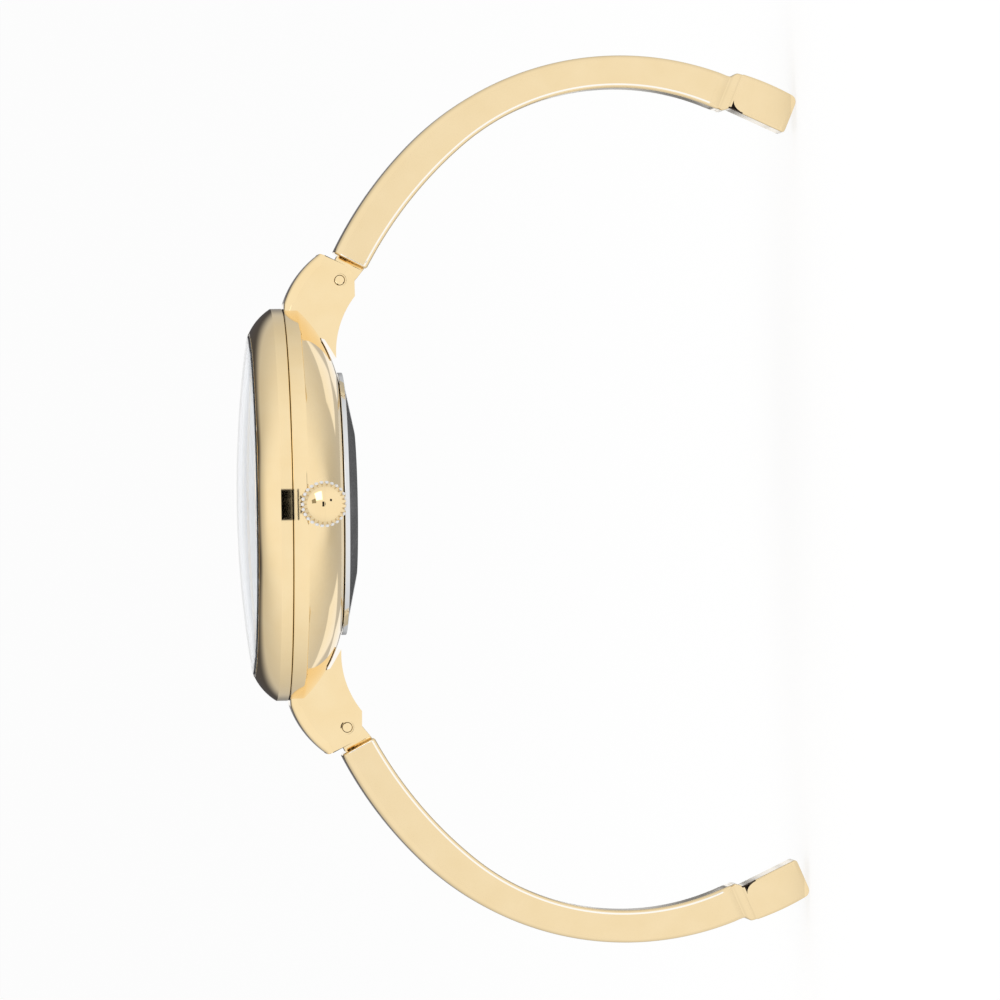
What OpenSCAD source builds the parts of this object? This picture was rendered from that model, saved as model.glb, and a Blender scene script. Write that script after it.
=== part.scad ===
// Bangle watch: a round case with two hinged half-bangle arms and a small battery movement.
// Origin at the centre of the flat of the caseback, +Z out of the dial, +Y to 12, +X to 3.

/* [Case] */
// Outer diameter of the case and the bezel
case_d = 36; // [35:0.5:44]
// Height of the bowl's flat bottom above the caseback's flat
bowl_bottom_z = 1.15; // [1.1:0.05:1.3]
// Radius of the bowl's curved wall
bowl_curve_r = 13; // [12.9:0.1:14]
// Distance of the bowl curve's centre from the outside of the case
bowl_curve_inset = 9.4; // [9:0.1:9.6]
// Height where the bowl turns into the straight band
band_z = 5.02; // [4.95:0.01:5.1]
// Height of the seam between case and bezel
seam_z = 6.32; // [6.3:0.01:6.4]
// Bore in the back of the case, for the caseback
back_bore_d = 20; // [19.8:0.1:20.4]
// Floor of the cavity that the movement ring rests on
cavity_floor_z = 3.2; // [3.15:0.05:3.3]
// Width of the bezel's seat on the case
bezel_seat_w = 1.05; // [1:0.05:1.1]
// Depth of the counterbore for the bezel skirt
skirt_seat_depth = 0.72; // [0.7:0.01:0.74]

/* [Bezel and crystal] */
// Straight height of the bezel above the seam
bezel_band_h = 1.13; // [1:0.01:1.3]
// Height of the bezel's sloping part
bezel_slope_h = 1.97; // [1.8:0.01:2.1]
// Width of the bezel's sloping part
bezel_slope_w = 2.22; // [2.1:0.01:2.3]
// Radius of the curve of the sloping part
bezel_slope_r = 5.3; // [4:0.1:8]
// Width of the ledge under the crystal
crystal_ledge_w = 0.88; // [0.8:0.01:1]
// Depth of the seat of the crystal below the top of the bezel
crystal_seat_depth = 1.22; // [1.1:0.01:1.3]
// Thickness of the ledge under the crystal
crystal_ledge_h = 0.5; // [0.4:0.05:0.6]
// Width of the gasket round the crystal
crystal_gasket_w = 0.22; // [0.18:0.01:0.3]
// How far the gasket stays below the top of the bezel
crystal_gasket_drop = 0.07; // [0.03:0.01:0.2]
// Height of the crystal's straight edge above the top of the bezel
crystal_edge_up = 0.13; // [0.05:0.01:0.2]
// Rise of the crystal's dome above its edge
crystal_dome_h = 1.18; // [0.9:0.02:1.4]
// Thickness of the crystal at its centre
crystal_t = 1.1; // [0.9:0.05:1.2]

/* [Dial and hands] */
// Height of the dial's underside
dial_z = 6.0; // [5.98:0.01:6.05]
// Thickness of the dial
dial_t = 0.4; // [0.35:0.05:0.4]
// Gap between the dial's edge and the bezel skirt
dial_gap = 0.2; // [0.1:0.05:0.3]
// Slope width of the ring between dial and crystal
dial_ring_slope = 0.5; // [0.3:0.05:0.6]
// Number of hour markers
marker_count = 12; // [4:1:12]
// Length of an hour marker
marker_l = 2.2; // [1.2:0.1:2.8]
// Width of an hour marker
marker_w = 0.5; // [0.3:0.05:0.8]
// Height of an hour marker
marker_h = 0.22; // [0.1:0.01:0.3]
// Distance of the markers from the edge of the dial
marker_inset = 1.3; // [1.2:0.1:2]
// Length of the hour hand from the centre
hour_hand_l = 8.4; // [6:0.1:9.5]
// Length of the minute hand from the centre
minute_hand_l = 12.4; // [9:0.1:13]
// Length of the second hand from the centre
second_hand_l = 13; // [9:0.1:13.4]
// Width of the hour hand at its root
hour_hand_w = 1.1; // [0.7:0.05:1.4]
// Width of the minute hand at its root
minute_hand_w = 0.9; // [0.6:0.05:1.2]
// Width of the second hand
second_hand_w = 0.26; // [0.2:0.02:0.4]
// Thickness of the hands
hand_t = 0.16; // [0.12:0.01:0.18]

/* [Caseback] */
// Diameter of the caseback's flat
caseback_flat_d = 14.7; // [12:0.1:17]
// Diameter of the caseback's flange
caseback_d = 24.1; // [23:0.1:26]
// Height of the cone from the flat to the flange's edge
caseback_cone_h = 0.95; // [0.7:0.05:1]
// Thickness of the caseback behind its flat
caseback_t = 1.3; // [1.2:0.05:1.5]
// Height of the snap rim inside the case
snap_rim_h = 1.15; // [1:0.05:1.2]
// Wall of the snap rim
snap_rim_w = 0.7; // [0.5:0.05:0.8]
// Width of the caseback gasket
caseback_gasket_w = 0.3; // [0.2:0.05:0.4]
// Height of the caseback gasket
caseback_gasket_h = 0.3; // [0.2:0.05:0.4]

/* [Lugs and hinges] */
// Width of a lug
lug_w = 5.6; // [5.2:0.1:6]
// Distance of the hinge pins outside the case
pin_out = 2.5; // [2.4:0.05:2.6]
// Height of the hinge pins
pin_z = 1.1; // [1.05:0.05:1.15]
// Diameter of a hinge pin
pin_d = 1.0; // [0.8:0.05:1.1]
// Width of the dark ring round the pin's end
pin_ring_w = 0.1; // [0.06:0.01:0.15]
// Depth of the ring round the pin's end
pin_ring_depth = 0.2; // [0.1:0.05:0.3]
// Width of the hinge tongue
tongue_w = 2.4; // [2.2:0.1:2.6]
// Radius of the tongue's nose round the pin
tongue_nose_r = 1.2; // [1.1:0.02:1.22]
// Side clearance of the tongue in its slot
tongue_side_gap = 0.1; // [0.05:0.01:0.15]
// Clearance round the tongue in its slot
tongue_round_gap = 0.15; // [0.12:0.01:0.2]
// How far an arm swings in from its open stop
arm_swing = 32; // [20:1:35]

/* [Arms] */
// Width of an arm
arm_w = 5.4; // [5:0.1:5.8]
// Thickness of an arm at the hinge
arm_root_t = 3.34; // [3.3:0.01:3.38]
// Thickness of an arm at its thinnest, halfway round
arm_waist_t = 2.97; // [2.9:0.01:3.05]
// Outer radius of an arm's first curve
arm_r1 = 36.82; // [36.7:0.01:36.9]
// Outer radius of an arm's second curve
arm_r2 = 27.12; // [27.05:0.01:27.2]
// Angle where the first curve passes into the second
arm_bend_a = 45.7; // [45:0.1:46.5]
// Angle where an arm ends in its cap
arm_end_a = 112.85; // [111:0.05:114]
// Length of a cap's collar
collar_l = 1.05; // [0.8:0.05:1.3]
// Length of a cap's block
cap_l = 5.42; // [4.5:0.02:6]
// Width of a cap's block
cap_w = 5.8; // [5.7:0.05:6.2]
// How far a cap stands out over the outside of the arm
cap_out = 0.6; // [0.3:0.02:0.7]
// How far a cap stays inside the arm's inner face
cap_in = 0.37; // [0.3:0.01:0.45]
// Corner radius of a cap's end
cap_corner_r = 0.6; // [0.4:0.05:0.8]

/* [Crown and stem] */
// Height of the stem
stem_z = 3.6; // [3.58:0.01:3.65]
// Diameter of the crown over its knurl
crown_d = 4.2; // [3.8:0.1:4.4]
// Length of the crown's knurled part
crown_l = 1.85; // [1.7:0.05:2.2]
// Number of teeth of the knurl
crown_teeth = 26; // [20:1:40]
// Depth of the knurl
knurl_depth = 0.12; // [0.08:0.01:0.16]
// Diameter of the crown's polished dome
crown_dome_d = 3.2; // [2.8:0.1:3.3]
// Height of the crown's dome
crown_dome_h = 0.65; // [0.4:0.05:0.8]
// Gap between the crown and the case
crown_gap = 0.25; // [0.2:0.05:0.35]
// How far the crown pulls out to set the time
crown_pull = 0.8; // [0.6:0.05:0.8]
// Outer diameter of the crown tube
tube_d = 2; // [1.8:0.05:2.1]
// Diameter of the stem
stem_d = 0.9; // [0.8:0.02:0.92]

/* [Movement] */
// Diameter of the main plate
plate_d = 19.2; // [19:0.1:19.4]
// Outer diameter of the movement ring
ring_d = 28; // [27.6:0.1:28]
// Height of the back face of the main plate
plate_back_z = 3.0; // [2.95:0.01:3.02]
// Roof of the pockets in the back of the main plate
pocket_z = 4.8; // [4.79:0.01:4.82]
// Floor of the motion work's recess in the front of the main plate
recess_z = 5.1; // [5.08:0.01:5.12]
// Width of the main plate's flange on the ring
plate_flange_w = 0.35; // [0.3:0.05:0.4]
// Thickness of the main plate's flange
plate_flange_t = 0.5; // [0.4:0.05:0.6]
// Distance of the third wheel from the centre
third_dist = 2.72; // [2.7:0.01:2.76]
// Distance of the intermediate wheel from the centre
inter_dist = 2.8; // [2.78:0.01:2.82]
// Distance of the rotor from the intermediate wheel
rotor_dist = 1.44; // [1.4:0.01:1.46]
// Distance of the minute wheel from the centre
minute_dist = 1.92; // [1.88:0.01:1.94]
// Direction of the third wheel from the centre
third_a = -60; // [-63:1:-57]
// Direction of the intermediate wheel and the rotor
rotor_a = 75; // [73:1:78]
// Direction of the minute wheel
minute_a = 150; // [120:5:180]
// Diameter of the battery
battery_d = 5.8; // [5.6:0.1:5.8]
// Thickness of the battery
battery_t = 2.1; // [2:0.05:2.1]
// Distance of the battery from the centre
battery_dist = 6.1; // [6.08:0.01:6.12]
// Direction of the battery from the centre
battery_a = 205; // [203:1:206]
// Length of the coil's winding
coil_l = 7.2; // [6:0.1:7.3]
// Diameter of the coil's winding
coil_d = 1.7; // [1.5:0.05:1.75]
// Distance of the coil from the centre
coil_y = 6.9; // [6.85:0.05:6.95]
// Length of the setting lever between its pivot and its pin
lever_l = 2.4; // [2.3:0.05:2.5]

/* [Hidden] */

$fn = 96;
fit = 0.02; // running clearance on a radius
seat_gap = 0.05; // clearance beside a seated piece
wide_gap = 0.1; // clearance round a loosely seated piece
pocket_gap = 0.15; // clearance round a wheel in its pocket
eps = 0.1; // how far a cut runs past a face
through = 5; // length of a cut that goes all the way through

gold = "#f0d8a0";
steel = "#c9ccd0";
brass = "#c8a858";
white = "#f2efe6";
dark = "#2a2a2c";
copper = "#b5703c";
green = "#2f6b45";

case_r = case_d / 2;
skirt_seat_r = case_r - bezel_seat_w;
skirt_floor_z = seam_z - skirt_seat_depth;
back_bore_r = back_bore_d / 2;
cavity_r = ring_d / 2 + seat_gap * 2;
bowl_c = [case_r - bowl_curve_inset, band_z + sqrt(pow(bowl_curve_r, 2) - pow(bowl_curve_inset, 2))];

bezel_top_z = seam_z + bezel_band_h + bezel_slope_h;
well_r = case_r - bezel_slope_w;
crystal_seat_z = bezel_top_z - crystal_seat_depth;
ledge_r = well_r - crystal_ledge_w;
ledge_under_z = crystal_seat_z - crystal_ledge_h;
skirt_r = skirt_seat_r - seat_gap;
skirt_in_r = skirt_r - 1.4;
crystal_r = well_r - crystal_gasket_w - fit;
crystal_edge_z = bezel_top_z + crystal_edge_up;
crystal_apex_z = crystal_edge_z + crystal_dome_h;
crystal_rim_h = 0.25;

dial_top_z = dial_z + dial_t;
dial_r = skirt_in_r - dial_gap;
dial_hole_r = 0.85;
hour_tube_r = 0.75;
cannon_tube_r = 0.4;
second_arbor_r = 0.18;
arbor_r = 0.12;
hour_hand_z = dial_top_z + 0.35;
minute_hand_z = hour_hand_z + 0.4;
second_hand_z = minute_hand_z + 0.37;

rim_r = back_bore_r - seat_gap;
rim_top_z = bowl_bottom_z + snap_rim_h;
gasket_z = bowl_bottom_z + 0.5;

pin_y = case_r + pin_out;
pin_r = pin_d / 2;
slot_w = tongue_w + 2 * tongue_side_gap;

// Arm in the (y, z) plane of the upper arm, with angles from +Z towards +Y.
// Its outer side is two arcs round c1 and c2, its inner side two arcs round c3 and c4, and its end
// face starts on the last of them, below and outside the pin.
arm_c2 = [pin_y - 6.884, pin_z - 25.739];
arm_c1 = arm_c2 - (arm_r1 - arm_r2) * [sin(arm_bend_a), cos(arm_bend_a)];
arm_in_r1 = 37.64;
arm_in_r2 = 21.8;
arm_in_bend_a = 49.7;
arm_waist_a = 84.4;
arm_waist_shift = arm_r2 - arm_waist_t - arm_in_r2;
arm_c3 = on_arc(arm_c2, arm_waist_shift, arm_waist_a);
arm_c4 = arm_c3 - (arm_in_r1 - arm_in_r2) * [sin(arm_in_bend_a), cos(arm_in_bend_a)];
arm_in_end_a = arm_end_a + asin(arm_waist_shift * sin(arm_end_a - arm_waist_a) / arm_in_r2);
arm_root_a = 27.86;
arm_face_a = 27.5;
arm_face_dir = [sin(arm_face_a), cos(arm_face_a)];
arm_face_at = on_arc(arm_c4, arm_in_r1, arm_root_a);
arm_face_l = arm_root_t;
arm_face_corner = 0.4;
arm_along = [cos(arm_root_a), -sin(arm_root_a)];
arm_tip_t = arm_r2 - norm(on_arc(arm_c3, arm_in_r2, arm_in_end_a) - arm_c2);
cap_root = on_arc(arm_c2, arm_r2 - arm_tip_t / 2, arm_end_a);
arm_tenon_l = 2.2;
arm_tenon_low = 0.85;
arm_tenon_high = 2.45;
cap_tenon_w = 3.4;
cap_tenon_l = 3;
cap_tenon_t = 1.6;
cap_step = 0.12;

// Lug, in the same plane: a front curve, a back edge, a round corner below the pin and a hollow
// underside, measured from the case and from the pin
lug_root_in = 2.5;
lug_top_out = 0.3;
lug_front_r = 9.18;
lug_front_in = 2.52;
lug_front_drop = 3.56;
lug_tip = [2.4, 1.9];
lug_tip_low = [2.43, 1.74];
lug_heel = [1.36, -0.54];
lug_corner_r = 1.76;
lug_corner_in = 0.2;
lug_corner_up = 0.4;
lug_under_r = 8.36;
lug_under_in = 4.18;
lug_under_drop = 7.92;
lug_foot_in = 2.93;
lug_foot_up = 1.41;
slot_open_a = 14;
slot_shut_a = arm_swing + 38;
slot_reach = 4.5;

plate_r = plate_d / 2;
ring_r = ring_d / 2;
flange_r = plate_r + plate_flange_w;
flange_z = dial_z - plate_flange_t;
third_at = third_dist * [cos(third_a), sin(third_a)];
inter_at = inter_dist * [cos(rotor_a), sin(rotor_a)];
rotor_at = inter_at + rotor_dist * [cos(rotor_a), sin(rotor_a)];
minute_at = minute_dist * [cos(minute_a), sin(minute_a)];
battery_at = battery_dist * [cos(battery_a), sin(battery_a)];
battery_z = pocket_z - seat_gap * 2 - battery_t;
bridge_t = 0.35;
bridge_z = plate_back_z - bridge_t;

// Tooth counts and heights of the train
second_n = 48;
second_pinion_n = 8;
third_n = 60;
third_pinion_n = 8;
centre_n = 64;
inter_n = 30;
inter_pinion_n = 8;
rotor_n = 6;
cannon_n = 12;
minute_n = 36;
minute_pinion_n = 10;
hour_n = 40;
wheel_t = 0.15;
second_wheel_z = plate_back_z + 0.5;
third_wheel_z = plate_back_z + 0.95;
inter_wheel_z = plate_back_z + 0.9;
centre_wheel_z = plate_back_z + 1.45;
minute_wheel_z = recess_z + 0.1;
hour_wheel_z = recess_z + 0.45;
centre_m = 2 * third_dist / (centre_n + third_pinion_n);
third_m = 2 * third_dist / (third_n + second_pinion_n);
second_m = 2 * inter_dist / (second_n + inter_pinion_n);
inter_m = 2 * rotor_dist / (inter_n + rotor_n);
minute_m = 2 * minute_dist / (minute_n + cannon_n);
hour_m = 2 * minute_dist / (hour_n + minute_pinion_n);

centre_pocket_r = max(tip_r(second_m, second_n), tip_r(centre_m, centre_n)) + pocket_gap;
third_pocket_r = tip_r(third_m, third_n) + pocket_gap;
inter_pocket_r = tip_r(inter_m, inter_n) + pocket_gap;
bridge_rim = 0.45;
pivot_l = 0.15;

rotor_magnet_r = 0.5;
stator_z = [plate_back_z + 0.15, plate_back_z + 0.6];
stator_hole_r = 0.62;
stator_ring_r = 0.85;
stator_end = 0.6;
minute_post_r = 0.25;
minute_post_h = 0.65;
core_t = 0.4;
core_w = 0.5;
core_end_w = 0.9;
coil_screw_x = 4.4;
coil_z = stator_z[1] + core_t / 2;
screw_r = 0.25;
screw_head_r = 0.45;
screw_head_h = 0.25;
screw_slot_w = 0.1;
screw_boss_r = 0.75;
bridge_screw_l = 1.1;
bridge_screw_at = [[3.96, -4.54], [-2.44, 2.44], [3, 3.4]];
strap_screw_at = [-2.3, -6.2];
strap_screw_l = 1.4;
strap_t = 0.2;
strap_w = 1;
strap_pad_r = 1;
strap_end_r = 0.7;
post_l = 1;
board_t = 0.2;
board_inset = 0.7;
board_low = battery_at[1] + battery_d / 2 + 0.6;
board_high = coil_y - coil_d / 2 - 0.45;
board_right = -centre_pocket_r - bridge_rim - 0.45;
chip_at = [-6.6, 2.4];
chip_w = 1.6;
chip_t = 0.4;
can_r = 0.75;
can_l = 5.2;
can_at = [1.6, -6.95];

crown_x = case_r + crown_gap;
crown_r = crown_d / 2;
crown_gasket_w = 0.3;
recess_r = tube_d / 2 + crown_gasket_w;
recess_l = crown_l - 0.7;
tube_in_x = ring_r + 0.15;
tube_out_x = crown_x + recess_l - 0.2;
stem_r = stem_d / 2;
pilot_r = 0.27;
pilot_l = 1.45;
square_w = 0.56;
groove_x = back_bore_r - 2.1;
groove_w = 0.5;
clutch_x = [groove_x - 2.4, groove_x - 1.2];
clutch_r = 0.85;
groove_r = 0.25;
lever_pin_r = 0.15;
lever_post_r = 0.3;
lever_hub_r = 0.6;
lever_end_r = 0.35;
lever_beam_w = 0.6;
lever_t = 0.25;
stem_end_x = clutch_x[0] - seat_gap - pilot_l;
lever_half_a = asin(crown_pull / 2 / lever_l);
lever_at = [groove_x + crown_pull / 2, -lever_l * cos(lever_half_a)];
lever_z = plate_back_z - seat_gap - lever_t;

function on_arc(c, r, a) = c + r * [sin(a), cos(a)];
function arc(c, r, from, to, steps) = [for (i = [0 : steps]) on_arc(c, r, from + (to - from) * i / steps)];
function tip_r(m, n) = m * n / 2 + 0.7 * m;
// Angle of a gear whose teeth fall into the gaps of the gear that drives it
function mesh_phase(dir, phase, n, to_n) = dir + 180 - (0.5 - (dir - phase) * n / 360) * 360 / to_n;

second_phase = 0;
inter_pinion_phase = mesh_phase(rotor_a, second_phase, second_n, inter_pinion_n);
rotor_phase = mesh_phase(rotor_a, inter_pinion_phase, inter_n, rotor_n);
third_phase = mesh_phase(third_a, second_phase, second_pinion_n, third_n);
centre_phase = mesh_phase(third_a + 180, third_phase, third_pinion_n, centre_n);
minute_phase = mesh_phase(minute_a, centre_phase, cannon_n, minute_n);
hour_phase = mesh_phase(minute_a + 180, minute_phase, minute_pinion_n, hour_n);

// Places an outline drawn in the (y, z) plane, centred on x = 0
module side_slab(w) {
    rotate([90, 0, 90]) linear_extrude(w, center = true) children();
}

// Turns a piece drawn along +Z so that it lies along +X on the stem's line
module on_stem(x) {
    translate([x, 0, stem_z]) rotate([0, 90, 0]) children();
}

module tube_of(outer_r, inner_r, h) {
    difference() {
        cylinder(r = outer_r, h = h);
        translate([0, 0, -eps]) cylinder(r = inner_r, h = h + 2 * eps);
    }
}

// A toothed wheel of module m with n teeth
module gear(m, n, h) {
    r = m * n / 2;
    root = r - 1.1 * m;
    tip = tip_r(m, n);
    pitch = 360 / n;
    linear_extrude(h)
        polygon([for (i = [0 : n - 1]) for (p = [[root, -0.3], [tip, -0.11], [tip, 0.11], [root, 0.3]])
            p[0] * [cos((i + p[1]) * pitch), sin((i + p[1]) * pitch)]]);
}

// A wheel with four round crossings
module crossed_wheel(m, n, h, hole_r, hole_at) {
    difference() {
        gear(m, n, h);
        for (a = [0 : 90 : 270])
            rotate([0, 0, a + 45]) translate([hole_at, 0, -eps]) cylinder(r = hole_r, h = h + 2 * eps, $fn = 32);
    }
}

module lug_outline() {
    pin = [pin_y, pin_z];
    front_c = [case_r - lug_front_in, pin_z - lug_front_drop];
    under_c = [case_r - lug_under_in, pin_z - lug_under_drop];
    corner_c = [pin_y - lug_corner_in, pin_z + lug_corner_up];
    polygon(concat(
        [[case_r - lug_root_in, seam_z + eps], [case_r + lug_top_out, seam_z + eps]],
        arc(front_c, lug_front_r, 18.4, 53.2, 12),
        [pin + lug_tip, pin + lug_tip_low, pin + lug_heel],
        arc(corner_c, lug_corner_r, 125, 180, 6),
        arc(under_c, lug_under_r, 38.5, -3.2, 11),
        [[case_r - lug_foot_in, bowl_bottom_z + lug_foot_up], [case_r - lug_root_in, cavity_floor_z + 0.4]]));
}

// Room for the tongue, from its open stop to its closed stop
module tongue_slot() {
    r = tongue_nose_r + tongue_round_gap;
    open_dir = [cos(slot_open_a), -sin(slot_open_a)];
    open_side = [sin(slot_open_a), cos(slot_open_a)];
    shut_dir = [cos(slot_shut_a), -sin(slot_shut_a)];
    shut_side = -[sin(slot_shut_a), cos(slot_shut_a)];
    at = [pin_y, pin_z];
    translate([0, pin_y, pin_z]) rotate([0, 90, 0]) cylinder(r = r, h = slot_w, center = true);
    side_slab(slot_w) polygon([at + r * open_side, at + r * open_side + slot_reach * open_dir,
        at + r * shut_side + slot_reach * shut_dir, at + r * shut_side]);
}

module lug() {
    difference() {
        side_slab(lug_w) lug_outline();
        tongue_slot();
        translate([0, pin_y, pin_z]) rotate([0, 90, 0]) cylinder(r = pin_r + fit, h = lug_w + 2 * eps, center = true);
        for (s = [-1, 1])
            translate([s * lug_w / 2, pin_y, pin_z]) rotate([0, 90, 0])
                cylinder(r = pin_r + pin_ring_w, h = 2 * pin_ring_depth, center = true);
    }
}

module bowl() {
    rotate_extrude($fn = 180) intersection() {
        translate(bowl_c) circle(r = bowl_curve_r, $fn = 180);
        translate([0, bowl_bottom_z]) square([case_r, seam_z - bowl_bottom_z]);
    }
}

module case_body() {
    color(gold) difference() {
        union() {
            bowl();
            lug();
            mirror([0, 1, 0]) lug();
        }
        translate([0, 0, -eps]) cylinder(r = back_bore_r, h = seam_z);
        translate([0, 0, cavity_floor_z]) cylinder(r = cavity_r, h = seam_z);
        translate([0, 0, skirt_floor_z]) cylinder(r = skirt_seat_r, h = seam_z);
        translate([0, 0, seam_z]) cylinder(r = case_r + seat_gap, h = bezel_top_z - seam_z);
        translate([0, 0, gasket_z - caseback_gasket_h / 2 - fit])
            cylinder(r = rim_r + caseback_gasket_w + fit * 2, h = caseback_gasket_h + fit * 2);
        on_stem(cavity_r - eps) cylinder(r = tube_d / 2 + fit, h = case_r);
        on_stem(back_bore_r - 1) cylinder(r = stem_r + seat_gap, h = case_r);
    }
}

module bezel_outline() {
    slope_l = norm([bezel_slope_w, bezel_slope_h]);
    chord_a = atan2(bezel_slope_w, bezel_slope_h);
    half_a = asin(slope_l / 2 / bezel_slope_r);
    foot = [case_r, seam_z + bezel_band_h];
    slope_c = foot - bezel_slope_r * [sin(90 - chord_a + half_a), cos(90 - chord_a + half_a)];
    polygon(concat(
        [[skirt_in_r, skirt_floor_z + seat_gap], [skirt_r, skirt_floor_z + seat_gap], [skirt_r, seam_z],
            [case_r, seam_z]],
        arc(slope_c, bezel_slope_r, 90 - chord_a + half_a, 90 - chord_a - half_a, 12),
        [[well_r, crystal_seat_z], [ledge_r, crystal_seat_z], [ledge_r, ledge_under_z],
            [skirt_in_r, ledge_under_z]]));
}

module bezel() {
    color(gold) rotate_extrude($fn = 180) bezel_outline();
}

// Half outline of a shallow dome, from its rim at z = 0 up to its apex
module dome_outline(r, rise, below) {
    dome_r = (r * r + rise * rise) / 2 / rise;
    intersection() {
        translate([0, rise - dome_r]) circle(r = dome_r, $fn = 360);
        translate([0, -below]) square([r, rise + below]);
    }
}

module crystal() {
    inner_r = ledge_r - 0.3;
    inner_apex_z = crystal_apex_z - crystal_t;
    rim_z = crystal_seat_z + crystal_rim_h;
    color("#dfe9f5") rotate_extrude($fn = 120) difference() {
        translate([0, crystal_edge_z]) dome_outline(crystal_r, crystal_dome_h, crystal_edge_z - crystal_seat_z);
        translate([0, rim_z]) dome_outline(inner_r, inner_apex_z - rim_z, crystal_rim_h + eps);
    }
}

module crystal_gasket() {
    color(dark) translate([0, 0, crystal_seat_z])
        tube_of(well_r - fit / 2, crystal_r + fit / 2, crystal_seat_depth - crystal_gasket_drop);
}

module dial_ring() {
    outer_r = skirt_in_r - seat_gap;
    color(white) rotate_extrude() polygon([[ledge_r - dial_ring_slope, dial_top_z], [outer_r, dial_top_z],
        [outer_r, ledge_under_z], [ledge_r, ledge_under_z]]);
}

module dial() {
    color(white) translate([0, 0, dial_z]) tube_of(dial_r, dial_hole_r, dial_t);
}

module hour_markers() {
    outer_r = dial_r - marker_inset;
    color(gold) for (i = [0 : marker_count - 1])
        rotate([0, 0, i * 360 / marker_count])
            translate([-marker_w / 2, outer_r - marker_l, dial_top_z]) cube([marker_w, marker_l, marker_h]);
}

module caseback() {
    color(steel) rotate_extrude($fn = 180) difference() {
        polygon([[0, 0], [caseback_flat_d / 2, 0], [caseback_d / 2, caseback_cone_h],
            [caseback_d / 2, bowl_bottom_z], [rim_r, bowl_bottom_z], [rim_r, rim_top_z], [0, rim_top_z]]);
        translate([-eps, caseback_t]) square([rim_r - snap_rim_w + eps, snap_rim_h + eps]);
    }
}

module caseback_gasket() {
    color(dark) translate([0, 0, gasket_z - caseback_gasket_h / 2])
        tube_of(rim_r + caseback_gasket_w, rim_r + fit, caseback_gasket_h);
}

// Upper half of the bracelet; the lower half is its mirror image
module arm_outline() {
    polygon(concat(
        [arm_face_at, arm_face_at + (arm_face_l - arm_face_corner) * arm_face_dir,
            arm_face_at + arm_face_l * arm_face_dir + arm_face_corner * arm_along],
        arc(arm_c1, arm_r1, arm_root_a + 1.3, arm_bend_a, 12),
        arc(arm_c2, arm_r2, arm_bend_a + 2, arm_end_a, 36),
        arc(arm_c3, arm_in_r2, arm_in_end_a, arm_in_bend_a + 2, 36),
        arc(arm_c4, arm_in_r1, arm_in_bend_a, arm_root_a + 1, 12)));
}

// The tongue's root in the arm, grown by a clearance for its pocket
module tenon_outline(gap) {
    low = arm_face_at + (arm_tenon_low - gap) * arm_face_dir;
    high = arm_face_at + (arm_tenon_high + gap) * arm_face_dir;
    polygon([low - eps * arm_along, high - eps * arm_along, high + (arm_tenon_l + gap) * arm_along,
        low + (arm_tenon_l + gap) * arm_along]);
}

// Moves a piece to the end of the arm, with +Y along the arm and +Z outwards
module at_arm_end() {
    translate([0, cap_root[0], cap_root[1]]) rotate([-arm_end_a, 0, 0]) children();
}

module arm() {
    color(gold) {
        difference() {
            side_slab(arm_w) arm_outline();
            side_slab(tongue_w + 2 * fit) tenon_outline(fit);
            at_arm_end() translate([-arm_w, 0, -arm_root_t]) cube([2 * arm_w, 2, 2 * arm_root_t]);
        }
        at_arm_end() translate([-cap_tenon_w / 2, -eps, -cap_tenon_t / 2])
            cube([cap_tenon_w, cap_tenon_l, cap_tenon_t]);
    }
}

module hinge_tongue() {
    front_a = 23.4;
    back_a = 38.3;
    nose_front = [pin_y, pin_z] + (tongue_nose_r - 0.06) * [sin(front_a), cos(front_a)];
    nose_back = [pin_y, pin_z] - tongue_nose_r * [sin(back_a), cos(back_a)];
    color(gold) difference() {
        union() {
            translate([0, pin_y, pin_z]) rotate([0, 90, 0]) cylinder(r = tongue_nose_r, h = tongue_w, center = true);
            side_slab(tongue_w) union() {
                polygon([nose_front, arm_face_at + (arm_face_l - 0.3) * arm_face_dir,
                    arm_face_at + 0.15 * arm_face_dir, nose_back]);
                tenon_outline(0);
            }
        }
        translate([0, pin_y, pin_z]) rotate([0, 90, 0]) cylinder(r = pin_r + fit, h = lug_w, center = true);
    }
}

module end_cap() {
    top = arm_tip_t / 2 + cap_out;
    bottom = -arm_tip_t / 2 + cap_in;
    full_l = collar_l + cap_l;
    r = cap_corner_r;
    color(gold) at_arm_end() difference() {
        union() {
            side_slab(cap_w) polygon(concat(
                [[collar_l, bottom], [collar_l, top]],
                arc([full_l - r, top - r], r, 0, 90, 6),
                arc([full_l - r / 2, bottom + r / 2], r / 2, 90, 180, 4)));
            translate([-cap_w / 2 + cap_step, 0, bottom + cap_step])
                cube([cap_w - 2 * cap_step, collar_l + eps, top - bottom - 2 * cap_step]);
        }
        translate([-cap_tenon_w / 2 - fit, -eps, -cap_tenon_t / 2 - fit])
            cube([cap_tenon_w + 2 * fit, cap_tenon_l + fit, cap_tenon_t + 2 * fit]);
    }
}

module hinge_pin() {
    color(gold) translate([0, pin_y, pin_z]) rotate([0, 90, 0]) cylinder(r = pin_r, h = lug_w, center = true);
}

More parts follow.
